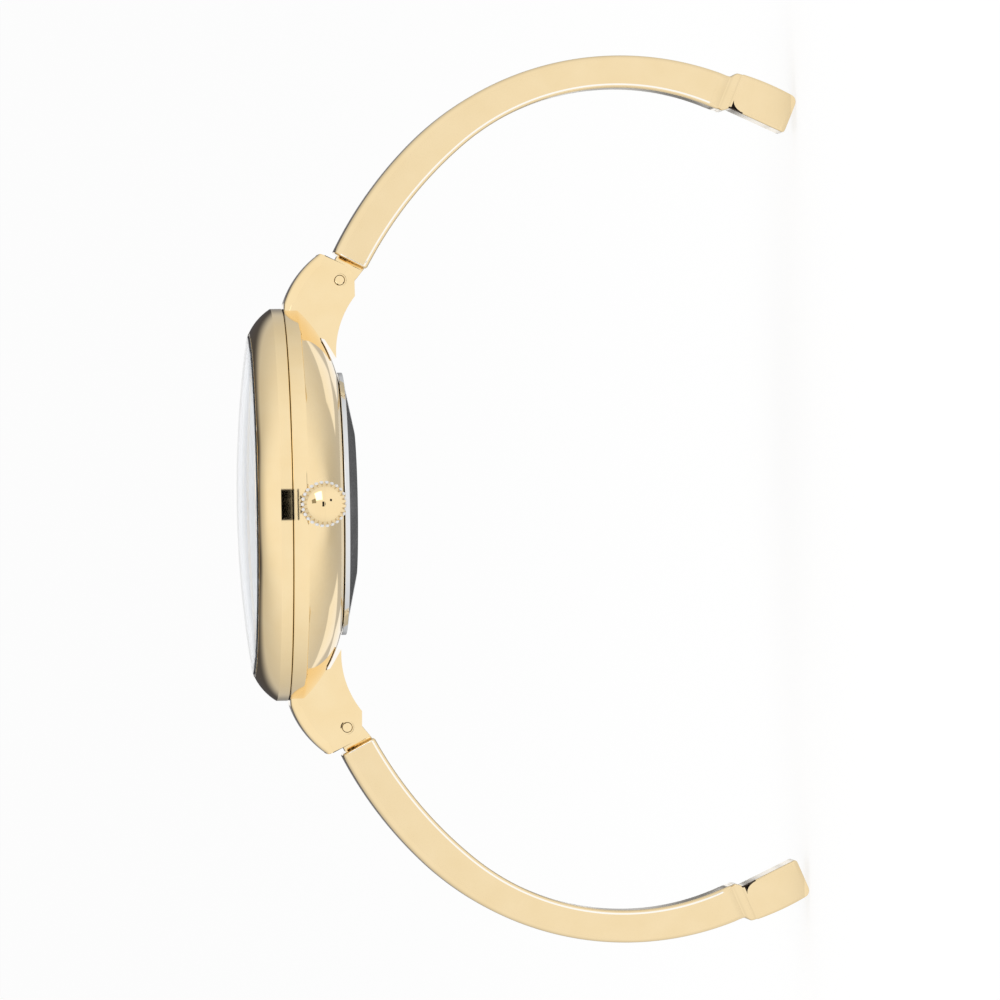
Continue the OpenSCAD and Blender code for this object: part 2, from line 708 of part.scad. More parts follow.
// Crown, stem and setting work
module crown() {
    dome_r = crown_dome_d / 2;
    pitch = 360 / crown_teeth;
    root = crown_r - knurl_depth;
    color(gold) on_stem(crown_x) difference() {
        union() {
            linear_extrude(crown_l)
                polygon([for (i = [0 : crown_teeth - 1])
                    for (p = [[root, -0.3], [crown_r, -0.15], [crown_r, 0.15], [root, 0.3]])
                        p[0] * [cos((i + p[1]) * pitch), sin((i + p[1]) * pitch)]]);
            translate([0, 0, crown_l]) rotate_extrude() dome_outline(dome_r, crown_dome_h, eps);
        }
        translate([0, 0, -eps]) cylinder(r = recess_r, h = recess_l + eps);
        cylinder(r = stem_r + fit, h = crown_l - pocket_gap);
    }
}

module crown_gasket() {
    color(dark) on_stem(crown_x + crown_gasket_w) tube_of(recess_r - fit, tube_d / 2 + fit, crown_gasket_w);
}

module crown_tube() {
    color(gold) on_stem(tube_in_x) tube_of(tube_d / 2, stem_r + seat_gap, tube_out_x - tube_in_x);
}

module stem() {
    square_x = stem_end_x + pilot_l;
    round_x = clutch_x[1] + 0.5;
    end_x = crown_x + crown_l - 0.2;
    color(steel) difference() {
        union() {
            on_stem(stem_end_x) cylinder(r = pilot_r, h = pilot_l + eps);
            on_stem(square_x) translate([-square_w / 2, -square_w / 2, 0])
                cube([square_w, square_w, round_x - square_x + eps]);
            on_stem(round_x) cylinder(r = stem_r, h = end_x - round_x);
        }
        on_stem(groove_x - groove_w / 2) tube_of(stem_r + eps, groove_r, groove_w);
    }
}

module sliding_pinion() {
    l = clutch_x[1] - clutch_x[0];
    color(steel) on_stem(clutch_x[0]) difference() {
        gear(2 * clutch_r / 13.4, 12, l);
        translate([-square_w / 2 - fit, -square_w / 2 - fit, -eps])
            cube([square_w + 2 * fit, square_w + 2 * fit, l + 2 * eps]);
    }
}

module setting_lever() {
    pin_h = stem_z - groove_r - seat_gap - lever_z;
    color(steel) translate([lever_at[0], lever_at[1], lever_z]) rotate([0, 0, lever_half_a]) {
        difference() {
            union() {
                cylinder(r = lever_hub_r, h = lever_t);
                translate([-lever_beam_w / 2, 0, 0]) cube([lever_beam_w, lever_l, lever_t]);
                translate([0, lever_l, 0]) cylinder(r = lever_end_r, h = lever_t);
            }
            translate([0, 0, -eps]) cylinder(r = lever_post_r + fit, h = lever_t + 2 * eps);
        }
        translate([0, lever_l, 0]) cylinder(r = lever_pin_r, h = pin_h);
    }
}

// Movement
module movement_ring() {
    color("#d9d6cf") difference() {
        translate([0, 0, cavity_floor_z]) tube_of(ring_r, plate_r + seat_gap, dial_z - cavity_floor_z);
        translate([0, 0, flange_z]) cylinder(r = flange_r + seat_gap, h = plate_flange_t + eps);
        on_stem(plate_r - 1) cylinder(r = stem_r + pocket_gap, h = ring_r);
    }
}

// Block that the stator and its pocket share: a ring round the rotor and a leg to each coil screw
module stator_block(gap, h) {
    end_x = coil_screw_x + stator_end + gap;
    near_x = coil_l / 2 + 0.25 - gap;
    end_y = coil_y + 0.5 + gap;
    coil_edge = coil_y - coil_d / 2 - wide_gap + gap;
    translate(rotor_at) cylinder(r = stator_ring_r + gap, h = h);
    for (s = [-1, 1])
        linear_extrude(h) polygon([[s * end_x, end_y], [s * near_x, end_y], [s * near_x, coil_edge],
            rotor_at + [s * 0.2, stator_ring_r - 0.01 + gap], rotor_at + [s * 0.5, -0.5 - gap],
            [s * end_x, coil_y - 1.4 - gap]]);
}

module main_plate() {
    roof = pocket_z - plate_back_z;
    clutch_slot_l = clutch_x[1] - clutch_x[0] + 2 * wide_gap;
    lever_slot_r = lever_pin_r + pocket_gap;
    color("#d8d2c0") difference() {
        union() {
            translate([0, 0, plate_back_z]) cylinder(r = plate_r, h = dial_z - plate_back_z);
            translate([0, 0, flange_z]) cylinder(r = flange_r, h = dial_z - flange_z);
            translate([strap_screw_at[0], strap_screw_at[1], battery_z]) cylinder(r = strap_end_r, h = post_l);
            translate([lever_at[0], lever_at[1], lever_z]) cylinder(r = lever_post_r, h = post_l);
        }
        translate([0, 0, plate_back_z - eps]) {
            cylinder(r = centre_pocket_r, h = roof + eps);
            translate(third_at) cylinder(r = third_pocket_r, h = roof + eps);
            translate(inter_at) cylinder(r = inter_pocket_r, h = roof + eps);
            translate(rotor_at) cylinder(r = stator_ring_r + wide_gap, h = roof + eps);
            translate([-coil_l / 2 - pocket_gap, coil_y - coil_d / 2 - wide_gap, 0])
                cube([coil_l + 2 * pocket_gap, coil_d + 2 * wide_gap, roof + eps]);
            translate([can_at[0] - can_l / 2 - wide_gap, can_at[1] - can_r - wide_gap, 0])
                cube([can_l + 2 * wide_gap, 2 * can_r + 2 * wide_gap, 2 * can_r + wide_gap + eps]);
            stator_block(wide_gap, stator_z[1] - plate_back_z + eps);
        }
        translate([battery_at[0], battery_at[1], battery_z - eps])
            cylinder(r = battery_d / 2 + seat_gap, h = battery_t + eps + seat_gap);
        translate([-coil_screw_x - stator_end, coil_y - core_end_w / 2 - seat_gap, plate_back_z - eps])
            cube([2 * (coil_screw_x + stator_end), core_end_w + 2 * seat_gap,
                stator_z[1] + core_t - plate_back_z + eps]);
        for (s = [-1, 1])
            translate([s * coil_screw_x, coil_y, plate_back_z]) cylinder(r = screw_r + fit, h = roof);
        for (p = bridge_screw_at)
            translate([p[0], p[1], plate_back_z - eps]) cylinder(r = screw_r + fit, h = bridge_screw_l + 2 * eps);
        translate([strap_screw_at[0], strap_screw_at[1], battery_z - eps])
            cylinder(r = screw_r + fit, h = strap_screw_l + 2 * eps);
        translate([0, 0, recess_z]) cylinder(r = tip_r(hour_m, hour_n) + pocket_gap, h = through);
        translate([0, 0, pocket_z - eps]) cylinder(r = cannon_tube_r + fit, h = through);
        for (p = [third_at, inter_at, rotor_at])
            translate([p[0], p[1], pocket_z - eps]) cylinder(r = arbor_r + fit, h = pivot_l + seat_gap + eps);
        translate([minute_at[0], minute_at[1], recess_z]) difference() {
            cylinder(r = tip_r(minute_m, minute_n) + pocket_gap, h = through);
            translate([0, 0, -eps]) cylinder(r = minute_post_r, h = minute_post_h + eps);
        }
        on_stem(stem_end_x - eps) cylinder(r = pilot_r + fit * 1.5, h = pilot_l + 2 * eps);
        on_stem(clutch_x[0] - wide_gap) cylinder(r = clutch_r + wide_gap, h = clutch_slot_l);
        translate([clutch_x[0] - wide_gap, -clutch_r - wide_gap, plate_back_z - eps])
            cube([clutch_slot_l, 2 * (clutch_r + wide_gap), stem_z - plate_back_z + eps]);
        on_stem(clutch_x[1]) cylinder(r = stem_r + fit * 1.5, h = through);
        translate([groove_x - lever_slot_r, -lever_slot_r, plate_back_z - eps])
            cube([crown_pull + 2 * lever_slot_r, 2 * lever_slot_r, stem_z - plate_back_z + eps]);
    }
}

module train_bridge() {
    color(brass) translate([0, 0, bridge_z]) difference() {
        union() {
            cylinder(r = centre_pocket_r + bridge_rim, h = bridge_t);
            translate(third_at) cylinder(r = third_pocket_r + bridge_rim, h = bridge_t);
            translate(inter_at) cylinder(r = inter_pocket_r + bridge_rim, h = bridge_t);
            translate(rotor_at) cylinder(r = stator_ring_r + wide_gap + bridge_rim, h = bridge_t);
            for (p = bridge_screw_at)
                translate(p) cylinder(r = screw_boss_r, h = bridge_t);
        }
        translate([0, 0, -eps]) {
            cylinder(r = second_arbor_r + fit, h = through);
            for (p = [third_at, inter_at, rotor_at])
                translate(p) cylinder(r = arbor_r + fit, h = through);
            for (p = bridge_screw_at)
                translate(p) cylinder(r = screw_r + fit, h = through);
        }
    }
}

// A screw with its head towards the back
module screw(at, z, l) {
    translate([at[0], at[1], z - screw_head_h]) difference() {
        union() {
            cylinder(r = screw_head_r, h = screw_head_h);
            cylinder(r = screw_r, h = screw_head_h + l);
        }
        translate([-screw_head_r - eps, -screw_slot_w / 2, -eps])
            cube([2 * (screw_head_r + eps), screw_slot_w, screw_slot_w + eps]);
    }
}

module bridge_screws() {
    color(steel) {
        for (p = bridge_screw_at)
            screw(p, bridge_z, bridge_t + bridge_screw_l);
        screw(strap_screw_at, battery_z - strap_t, strap_t + strap_screw_l);
    }
}

module coil_screws() {
    color(steel) for (s = [-1, 1])
        screw([s * coil_screw_x, coil_y], stator_z[0], pocket_z - stator_z[0] - wide_gap);
}

module stator() {
    color(steel) difference() {
        translate([0, 0, stator_z[0]]) stator_block(0, stator_z[1] - stator_z[0]);
        translate([rotor_at[0], rotor_at[1], plate_back_z]) cylinder(r = stator_hole_r, h = through);
        for (s = [-1, 1])
            translate([s * coil_screw_x, coil_y, plate_back_z]) cylinder(r = screw_r + fit, h = through);
    }
}

module coil_core() {
    core_end_l = 1;
    color(steel) difference() {
        translate([0, coil_y, coil_z]) {
            cube([2 * coil_screw_x, core_w, core_t], center = true);
            for (s = [-1, 1])
                translate([s * coil_screw_x, 0, 0]) cube([core_end_l, core_end_w, core_t], center = true);
        }
        for (s = [-1, 1])
            translate([s * coil_screw_x, coil_y, coil_z - core_t]) cylinder(r = screw_r + fit, h = 2 * core_t);
    }
}

module coil_winding() {
    color(copper) translate([0, coil_y, coil_z]) difference() {
        rotate([0, 90, 0]) cylinder(r = coil_d / 2, h = coil_l, center = true);
        cube([coil_l + 2 * eps, core_w + fit, core_t + fit], center = true);
    }
}

module circuit_board() {
    color(green) translate([0, 0, plate_back_z - board_t]) intersection() {
        cylinder(r = plate_r - board_inset, h = board_t);
        translate([-plate_r, board_low, -eps])
            cube([plate_r + board_right, board_high - board_low, board_t + 2 * eps]);
    }
    color(dark) translate([chip_at[0], chip_at[1], plate_back_z - board_t - chip_t])
        cube([chip_w, chip_w, chip_t]);
}

module quartz_can() {
    color(steel) translate([can_at[0] - can_l / 2, can_at[1], plate_back_z + can_r]) rotate([0, 90, 0])
        cylinder(r = can_r, h = can_l);
}

module battery() {
    rim = 0.35;
    rim_h = 0.3;
    color(steel) translate([battery_at[0], battery_at[1], battery_z]) {
        cylinder(r = battery_d / 2, h = battery_t - rim_h);
        cylinder(r = battery_d / 2 - rim, h = battery_t);
    }
}

module battery_strap() {
    dir = strap_screw_at - battery_at;
    reach = norm(dir);
    color(brass) translate([battery_at[0], battery_at[1], battery_z - strap_t]) difference() {
        union() {
            cylinder(r = strap_pad_r, h = strap_t);
            rotate([0, 0, atan2(dir[1], dir[0])]) {
                translate([0, -strap_w / 2, 0]) cube([reach, strap_w, strap_t]);
                translate([reach, 0, 0]) cylinder(r = strap_end_r, h = strap_t);
            }
        }
        translate([dir[0], dir[1], -eps]) cylinder(r = screw_r + fit, h = through);
    }
}

// Train and motion work, from the rotor to the hour wheel
module rotor_magnet() {
    color(dark) translate([rotor_at[0], rotor_at[1], stator_z[0] - seat_gap])
        tube_of(rotor_magnet_r, arbor_r, stator_z[1] - stator_z[0] + 2 * seat_gap);
}

module rotor_pinion() {
    color(steel) translate([rotor_at[0], rotor_at[1], bridge_z]) {
        cylinder(r = arbor_r, h = pocket_z + pivot_l - bridge_z);
        translate([0, 0, inter_wheel_z - 0.1 - bridge_z]) rotate([0, 0, rotor_phase])
            gear(inter_m, rotor_n, wheel_t + 0.2);
    }
}

module intermediate_wheel() {
    color(brass) translate([inter_at[0], inter_at[1], bridge_z]) {
        cylinder(r = arbor_r, h = pocket_z + pivot_l - bridge_z);
        translate([0, 0, inter_wheel_z - bridge_z]) rotate([0, 0, inter_pinion_phase])
            gear(inter_m, inter_n, wheel_t);
        translate([0, 0, second_wheel_z - 0.1 - bridge_z]) rotate([0, 0, inter_pinion_phase])
            gear(second_m, inter_pinion_n, inter_wheel_z - second_wheel_z + 0.15);
    }
}

module second_wheel() {
    color(brass) {
        translate([0, 0, bridge_z]) cylinder(r = second_arbor_r, h = second_hand_z + hand_t - bridge_z);
        rotate([0, 0, second_phase]) {
            translate([0, 0, second_wheel_z]) crossed_wheel(second_m, second_n, wheel_t, 0.55, 1.35);
            translate([0, 0, second_wheel_z]) gear(third_m, second_pinion_n, third_wheel_z - second_wheel_z + 0.25);
        }
    }
}

module third_wheel() {
    color(brass) translate([third_at[0], third_at[1], bridge_z]) {
        cylinder(r = arbor_r, h = pocket_z + pivot_l - bridge_z);
        rotate([0, 0, third_phase]) {
            translate([0, 0, third_wheel_z - bridge_z]) crossed_wheel(third_m, third_n, wheel_t, 0.55, 1.35);
            translate([0, 0, third_wheel_z - bridge_z])
                gear(centre_m, third_pinion_n, centre_wheel_z - third_wheel_z + 0.25);
        }
    }
}

module centre_wheel() {
    top = minute_hand_z + hand_t + 0.02;
    color(brass) difference() {
        union() {
            rotate([0, 0, centre_phase]) {
                translate([0, 0, centre_wheel_z]) crossed_wheel(centre_m, centre_n, wheel_t, 0.55, 1.35);
                translate([0, 0, recess_z + 0.03]) gear(minute_m, cannon_n, 0.35);
            }
            translate([0, 0, centre_wheel_z]) cylinder(r = cannon_tube_r, h = top - centre_wheel_z);
        }
        translate([0, 0, centre_wheel_z - eps]) cylinder(r = second_arbor_r + 2 * fit, h = through);
    }
}

module minute_wheel() {
    color(brass) translate([minute_at[0], minute_at[1], minute_wheel_z]) rotate([0, 0, minute_phase]) difference() {
        union() {
            gear(minute_m, minute_n, wheel_t);
            gear(hour_m, minute_pinion_n, 0.6);
        }
        translate([0, 0, -eps]) cylinder(r = minute_post_r + fit, h = through, $fn = 32);
    }
}

module hour_wheel() {
    color(brass) translate([0, 0, hour_wheel_z]) difference() {
        union() {
            rotate([0, 0, hour_phase]) gear(hour_m, hour_n, wheel_t);
            cylinder(r = hour_tube_r, h = hour_hand_z + hand_t + 0.02 - hour_wheel_z);
        }
        translate([0, 0, -eps]) cylinder(r = cannon_tube_r + 2 * fit, h = through);
    }
}

// A tapering hand that points along +Y, with a hub of its own
module hand(z, l, w, tip_w, tail, hub_r, bore_r) {
    color(gold) translate([0, 0, z]) difference() {
        union() {
            linear_extrude(hand_t) polygon([[-w / 2, 0], [-tip_w / 2, l], [tip_w / 2, l], [w / 2, 0],
                [w / 2, -tail], [-w / 2, -tail]]);
            cylinder(r = hub_r, h = hand_t);
        }
        translate([0, 0, -eps]) cylinder(r = bore_r, h = hand_t + 2 * eps);
    }
}

module hour_hand() {
    hand(hour_hand_z, hour_hand_l, hour_hand_w, tip_w = 0.3, tail = 0, hub_r = hour_tube_r + 0.4,
        bore_r = hour_tube_r + fit / 2);
}

module minute_hand() {
    hand(minute_hand_z, minute_hand_l, minute_hand_w, tip_w = 0.25, tail = 0, hub_r = cannon_tube_r + 0.4,
        bore_r = cannon_tube_r + fit / 2);
}

module second_hand() {
    hand(second_hand_z, second_hand_l, second_hand_w, tip_w = 0.12, tail = 3, hub_r = second_arbor_r + 0.4,
        bore_r = second_arbor_r + fit / 2);
}

case_body();
bezel();
crystal();
crystal_gasket();
dial_ring();
hour_markers();
dial();
movement_ring();
main_plate();
train_bridge();
bridge_screws();
circuit_board();
quartz_can();
coil_core();
coil_winding();
coil_screws();
stator();
battery();
battery_strap();
crown_tube();
caseback();
caseback_gasket();
hinge_pin();  // upper_hinge_pin
mirror([0, 1, 0]) hinge_pin();  // lower_hinge_pin
crown();
crown_gasket();
stem();
sliding_pinion();
setting_lever();
rotor_magnet();
rotor_pinion();
intermediate_wheel();
second_wheel();
second_hand();
third_wheel();
centre_wheel();
minute_hand();
minute_wheel();
hour_wheel();
hour_hand();
arm();  // upper_arm
hinge_tongue();  // upper_hinge_tongue
end_cap();  // upper_end_cap
mirror([0, 1, 0]) arm();  // lower_arm
mirror([0, 1, 0]) hinge_tongue();  // lower_hinge_tongue
mirror([0, 1, 0]) end_cap();  // lower_end_cap
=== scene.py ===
# Bangle watch lying between its two open arms: mirror-polished gold-tone case, domed crystal,
# steel caseback, knurled crown and rigid half-bangle arms. Pieces are drawn in millimetres.
import bpy
import bmesh
import math
from mathutils import Matrix, Vector


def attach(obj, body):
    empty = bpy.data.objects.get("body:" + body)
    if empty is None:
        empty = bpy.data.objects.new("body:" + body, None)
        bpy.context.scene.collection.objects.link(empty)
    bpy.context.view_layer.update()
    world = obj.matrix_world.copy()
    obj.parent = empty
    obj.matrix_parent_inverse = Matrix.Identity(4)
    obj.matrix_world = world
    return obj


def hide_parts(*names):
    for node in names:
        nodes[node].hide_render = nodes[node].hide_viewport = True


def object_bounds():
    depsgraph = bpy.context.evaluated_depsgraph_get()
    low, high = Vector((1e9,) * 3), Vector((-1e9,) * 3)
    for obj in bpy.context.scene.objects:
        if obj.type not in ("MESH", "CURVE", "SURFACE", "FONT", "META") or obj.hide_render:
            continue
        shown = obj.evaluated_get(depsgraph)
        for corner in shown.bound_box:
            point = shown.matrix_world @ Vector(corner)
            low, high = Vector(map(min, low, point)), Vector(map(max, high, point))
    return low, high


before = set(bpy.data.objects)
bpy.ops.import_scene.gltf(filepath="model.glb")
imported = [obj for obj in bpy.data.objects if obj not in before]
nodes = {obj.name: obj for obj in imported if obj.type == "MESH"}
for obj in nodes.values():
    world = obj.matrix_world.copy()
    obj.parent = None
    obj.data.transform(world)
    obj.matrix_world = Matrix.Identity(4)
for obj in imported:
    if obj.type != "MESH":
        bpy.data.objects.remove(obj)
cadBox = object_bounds()
mm = 0.001
print("frame loaded:", len(nodes), "nodes")


# Small helpers for nodes and materials
def hexToLinear(code):
    channels = [int(code[i:i + 2], 16) / 255 for i in (1, 3, 5)]
    return [c / 12.92 if c <= 0.04045 else ((c + 0.055) / 1.055) ** 2.4 for c in channels] + [1.0]


# A link comes from a socket, or from a node, which stands for its first output
def joinLinks(tree, made, links):
    for name, source in links.items():
        socket = source.outputs[0] if isinstance(source, bpy.types.Node) else source
        tree.links.new(socket, made.inputs[name])


def addNode(tree, kind, settings=None, links=None):
    made = tree.nodes.new(kind)
    for name, value in (settings or {}).items():
        if isinstance(name, int) or name[0].isupper():
            made.inputs[name].default_value = value
        else:
            setattr(made, name, value)
    joinLinks(tree, made, links or {})
    return made


def newMaterial(name, settings):
    material = bpy.data.materials.new(name)
    material.use_nodes = True
    tree = material.node_tree
    shader = tree.nodes["Principled BSDF"]
    for socket, value in settings.items():
        shader.inputs[socket].default_value = value
    place = addNode(tree, "ShaderNodeTexCoord").outputs["Object"]
    return material, tree, shader, place


def emptyMaterial(name):
    material = bpy.data.materials.new(name)
    material.use_nodes = True
    material.node_tree.nodes.clear()
    return material, material.node_tree


# Mixes two hex colours by a noise of the given grain size
def mottledColour(tree, place, colours, grainMm, detail=3.0):
    first, second = (hexToLinear(colour) for colour in colours)
    noise = addNode(tree, "ShaderNodeTexNoise", {"Scale": 1 / (grainMm * mm), "Detail": detail},
                    {"Vector": place})
    return addNode(tree, "ShaderNodeMix", {"data_type": "RGBA", 6: first, 7: second}, {0: noise}).outputs[2]


def noiseRange(tree, place, low, high, grainMm, stretch=(1, 1, 1)):
    turned = addNode(tree, "ShaderNodeMapping", {"Scale": stretch}, {"Vector": place})
    noise = addNode(tree, "ShaderNodeTexNoise", {"Scale": 1 / (grainMm * mm), "Detail": 4.0},
                    {"Vector": turned})
    return addNode(tree, "ShaderNodeMapRange", {"To Min": low, "To Max": high}, {"Value": noise})


# Polished metals. The wipe marks of the polishing wheel are a few hundredths of a millimetre apart on a real
# watch, and are drawn coarser so that they show at all
polishedLooks = {
    # gold-tone plating on a buffed case: a true mirror, pale and warm, near black where a card is dark
    "polishedGoldPlate": {"colours": ("#FCE6BA", "#F7DCA9"), "mottleMm": 2.5, "roughness": (0.03, 0.06),
                          "wipeMm": 0.6},
    # the same plating on the arms, handled more: a touch duller, so that reflections have soft rims
    "polishedGoldPlateArms": {"colours": ("#F6E0B6", "#F0D8AA"), "mottleMm": 2.5, "roughness": (0.05, 0.09),
                              "wipeMm": 0.6},
    # painted highlight: a near-white finish painted on the rounding of the arm edges, where they would catch
    # the light as a thin line
    "paintedEdgeHighlight": {"colours": ("#FFFDF7", "#FFF9EC"), "mottleMm": 2.5, "roughness": (0.05, 0.09),
                      "wipeMm": 0.6},
    # stainless steel, lapped: a cold, colourless mirror beside the gold
    "polishedStainlessSteel": {"colours": ("#E9EAEB", "#DCDEE0"), "mottleMm": 3.0, "roughness": (0.04, 0.08),
                               "wipeMm": 0.5},
    # stamped and plated brass of the hands: a deeper gold with blurred glints
    "polishedHandGold": {"colours": ("#E9C88A", "#DDB875"), "mottleMm": 1.0, "roughness": (0.12, 0.2),
                         "wipeMm": 0.2},
}


def polishedMetal(name, look):
    material, tree, shader, place = newMaterial(name, {"Metallic": 1.0})
    wipes = noiseRange(tree, place, *look["roughness"], look["wipeMm"], (1, 1, 0.25))
    joinLinks(tree, shader, {"Base Color": mottledColour(tree, place, look["colours"], look["mottleMm"]),
                             "Roughness": wipes})
    return material


# Machined metals. Cutter marks are about 0.01 mm apart on the real parts and are drawn coarser
machinedLooks = {
    # turned and cut brass: yellow, with streaks that brighten and fade along the cut
    "machinedBrass": {"colours": ("#D2B36C", "#BF9C55"), "roughness": (0.22, 0.38), "grainMm": 0.05},
    # turned and blanked steel: neutral grey with a silky streak
    "machinedSteel": {"colours": ("#C9CBCF", "#B2B5BA"), "roughness": (0.2, 0.36), "grainMm": 0.05},
    # brass plate under nickel: a warm grey with a soft, even sheen
    "nickelPlate": {"colours": ("#D3CDBC", "#BFB9A8"), "roughness": (0.25, 0.4), "grainMm": 0.08},
}
cutterMark = {"mottleMm": 0.4, "stretch": (1, 12, 1), "depthMm": 0.004, "strength": 0.4}


def machinedMetal(name, look):
    material, tree, shader, place = newMaterial(name, {"Metallic": 1.0})
    grain = noiseRange(tree, place, *look["roughness"], look["grainMm"], cutterMark["stretch"])
    colour = mottledColour(tree, place, look["colours"], cutterMark["mottleMm"])
    relief = addNode(tree, "ShaderNodeBump", {"Strength": cutterMark["strength"],
                                              "Distance": cutterMark["depthMm"] * mm}, {"Height": grain})
    joinLinks(tree, shader, {"Base Color": colour, "Roughness": grain, "Normal": relief})
    return material


# Plastics, rubber, lacquer and the painted shade of recesses, each with a grain in its surface that is drawn
# coarser than real
plainLooks = {
    # moulded nitrile rubber: matt and nearly black, with no glint
    "nitrileRubber": {"colours": ("#1B1C1E", "#26272A"), "grainMm": 0.15, "roughness": 0.62, "depthMm": 0.01},
    # moulded nylon of the crystal's seal: a mid-grey satin line under the glass
    "mouldedNylon": {"colours": ("#9C9B98", "#8E8D8B"), "grainMm": 0.2, "roughness": 0.4, "depthMm": 0.006},
    # moulded acetal: ivory with a waxy sheen
    "mouldedAcetal": {"colours": ("#DEDCD4", "#D2CFC6"), "grainMm": 0.5, "roughness": 0.42, "depthMm": 0.006},
    # solder mask on glass-fibre board: deep green and glossy
    "solderMask": {"colours": ("#1E6A45", "#2A7A50"), "grainMm": 0.3, "roughness": 0.3, "depthMm": 0.01},
    # pressed and sintered magnet: dark grey, grainy and dull
    "sinteredMagnet": {"colours": ("#3A3A3E", "#4A4A50"), "grainMm": 0.06, "roughness": 0.5, "depthMm": 0.01},
    # sprayed lacquer on the dial's ring: off-white with a soft sheen
    "ringLacquer": {"colours": ("#EDEBE4", "#E4E1D8"), "grainMm": 0.8, "roughness": 0.3, "depthMm": 0.004},
    # painted shade: dark brown painted into joints, grooves and pockets where shade falls, so that a narrow
    # gap reads as a line
    "paintedRecessShade": {"colours": ("#2E2115", "#3B2A1A"), "grainMm": 0.1, "roughness": 0.7,
                         "depthMm": 0.004},
}


def plainSurface(name, look):
    material, tree, shader, place = newMaterial(name, {"Roughness": look["roughness"]})
    colour = mottledColour(tree, place, look["colours"], look["grainMm"] * 3)
    relief = addNode(tree, "ShaderNodeBump", {"Strength": 0.5, "Distance": look["depthMm"] * mm},
                     {"Height": noiseRange(tree, place, 0, 1, look["grainMm"])})
    joinLinks(tree, shader, {"Base Color": colour, "Normal": relief})
    return material


# Sunburst lacquer: rays brushed from the centre under clear lacquer, with their light and dark round the dial
# painted into the colour as a painted sheen.
# Real rays are about 0.05 mm wide at the rim and are drawn wider. A printed minute track stands near the edge
dialLook = {"colour": "#F1EFE9", "shade": "#DCD8CE", "rays": 180, "rayScale": 3.0, "rayDetail": 6.0,
            "rayDepthMm": 0.004, "tickColour": "#3A3630", "tickInner": 15.22, "tickWidth": 0.048}


def sunrayDial(name, look):
    material, tree, shader, place = newMaterial(name, {"Roughness": 0.34, "Coat Weight": 0.5,
                                                       "Coat Roughness": 0.08})
    parts = addNode(tree, "ShaderNodeSeparateXYZ", links={"Vector": place})
    angle = addNode(tree, "ShaderNodeMath", {"operation": "ARCTAN2"},
                    {0: parts.outputs["Y"], 1: parts.outputs["X"]})
    turns, minute = (addNode(tree, "ShaderNodeMath", {"operation": "MULTIPLY", 1: count / (2 * math.pi)},
                             {0: angle}) for count in (look["rays"], 60))
    rays = addNode(tree, "ShaderNodeTexNoise", {"noise_dimensions": "1D", "Scale": look["rayScale"],
                                                "Detail": look["rayDetail"]}, {"W": turns})
    # painted sheen: the rays' light and dark tones
    base = addNode(tree, "ShaderNodeMix", {"data_type": "RGBA", 6: hexToLinear(look["colour"]),
                                           7: hexToLinear(look["shade"])}, {0: rays}).outputs[2]
    radius = addNode(tree, "ShaderNodeVectorMath", {"operation": "LENGTH"}, {0: place}).outputs["Value"]
    away = addNode(tree, "ShaderNodeMath", {"operation": "PINGPONG", 1: 0.5}, {0: minute})
    line = addNode(tree, "ShaderNodeMath", {"operation": "LESS_THAN", 1: look["tickWidth"]}, {0: away})
    inRing = addNode(tree, "ShaderNodeMath", {"operation": "GREATER_THAN", 1: look["tickInner"] * mm},
                     {0: radius})
    mask = addNode(tree, "ShaderNodeMath", {"operation": "MULTIPLY"}, {0: line, 1: inRing})
    inked = addNode(tree, "ShaderNodeMix", {"data_type": "RGBA", 7: hexToLinear(look["tickColour"])},
                    {0: mask, 6: base})
    relief = addNode(tree, "ShaderNodeBump", {"Strength": 0.3, "Distance": look["rayDepthMm"] * mm},
                     {"Height": rays})
    joinLinks(tree, shader, {"Base Color": inked.outputs[2], "Normal": relief})
    return material


# Pressed and polished mineral glass: clear, with a faint blue that thickens towards the rim
crystalLook = {"colours": ("#EAF1FB", "#F4F8FE"), "mottleMm": 6.0, "ior": 1.52, "roughness": 0.0}


def mineralCrystal(name, look):
    material, tree, shader, place = newMaterial(name, {"Transmission Weight": 1.0, "IOR": look["ior"],
                                                       "Roughness": look["roughness"]})
    tint = mottledColour(tree, place, look["colours"], look["mottleMm"], 1.0)
    joinLinks(tree, shader, {"Base Color": tint})
    return material


# Copper wire under clear enamel: orange-brown metal with a wet gloss on each turn
wireLook = {"colours": ("#B8683A", "#9C5129"), "grainMm": 0.1}


def enamelledWire(name, look):
    material, tree, shader, place = newMaterial(name, {"Metallic": 1.0, "Roughness": 0.28,
                                                       "Coat Weight": 0.6})
    joinLinks(tree, shader, {"Base Color": mottledColour(tree, place, look["colours"], look["grainMm"])})
    return material


polished = {name: polishedMetal(name, look) for name, look in polishedLooks.items()}
machined = {name: machinedMetal(name, look) for name, look in machinedLooks.items()}
plain = {name: plainSurface(name, look) for name, look in plainLooks.items()}
gold, armGold, edgeHighlightPaint, steel, handGold = polished.values()
recessShadePaint = plain["paintedRecessShade"]
dialLacquer = sunrayDial("sunburstLacquer", dialLook)
glass = mineralCrystal("mineralCrystal", crystalLook)
copperWire = enamelledWire("enamelledCopperWire", wireLook)
print("materials made")


# Outlines: arcs by angle from +Z towards +Y, as the case and arms are drawn from the side
def arc(centre, radius, start, end, steps):
    turns = [math.radians(start + (end - start) * i / steps) for i in range(steps + 1)]
    return [(centre[0] + radius * math.sin(t), centre[1] + radius * math.cos(t)) for t in turns]


def polar(radius, angle):
    return Vector((math.sin(math.radians(angle)), math.cos(math.radians(angle)))) * radius


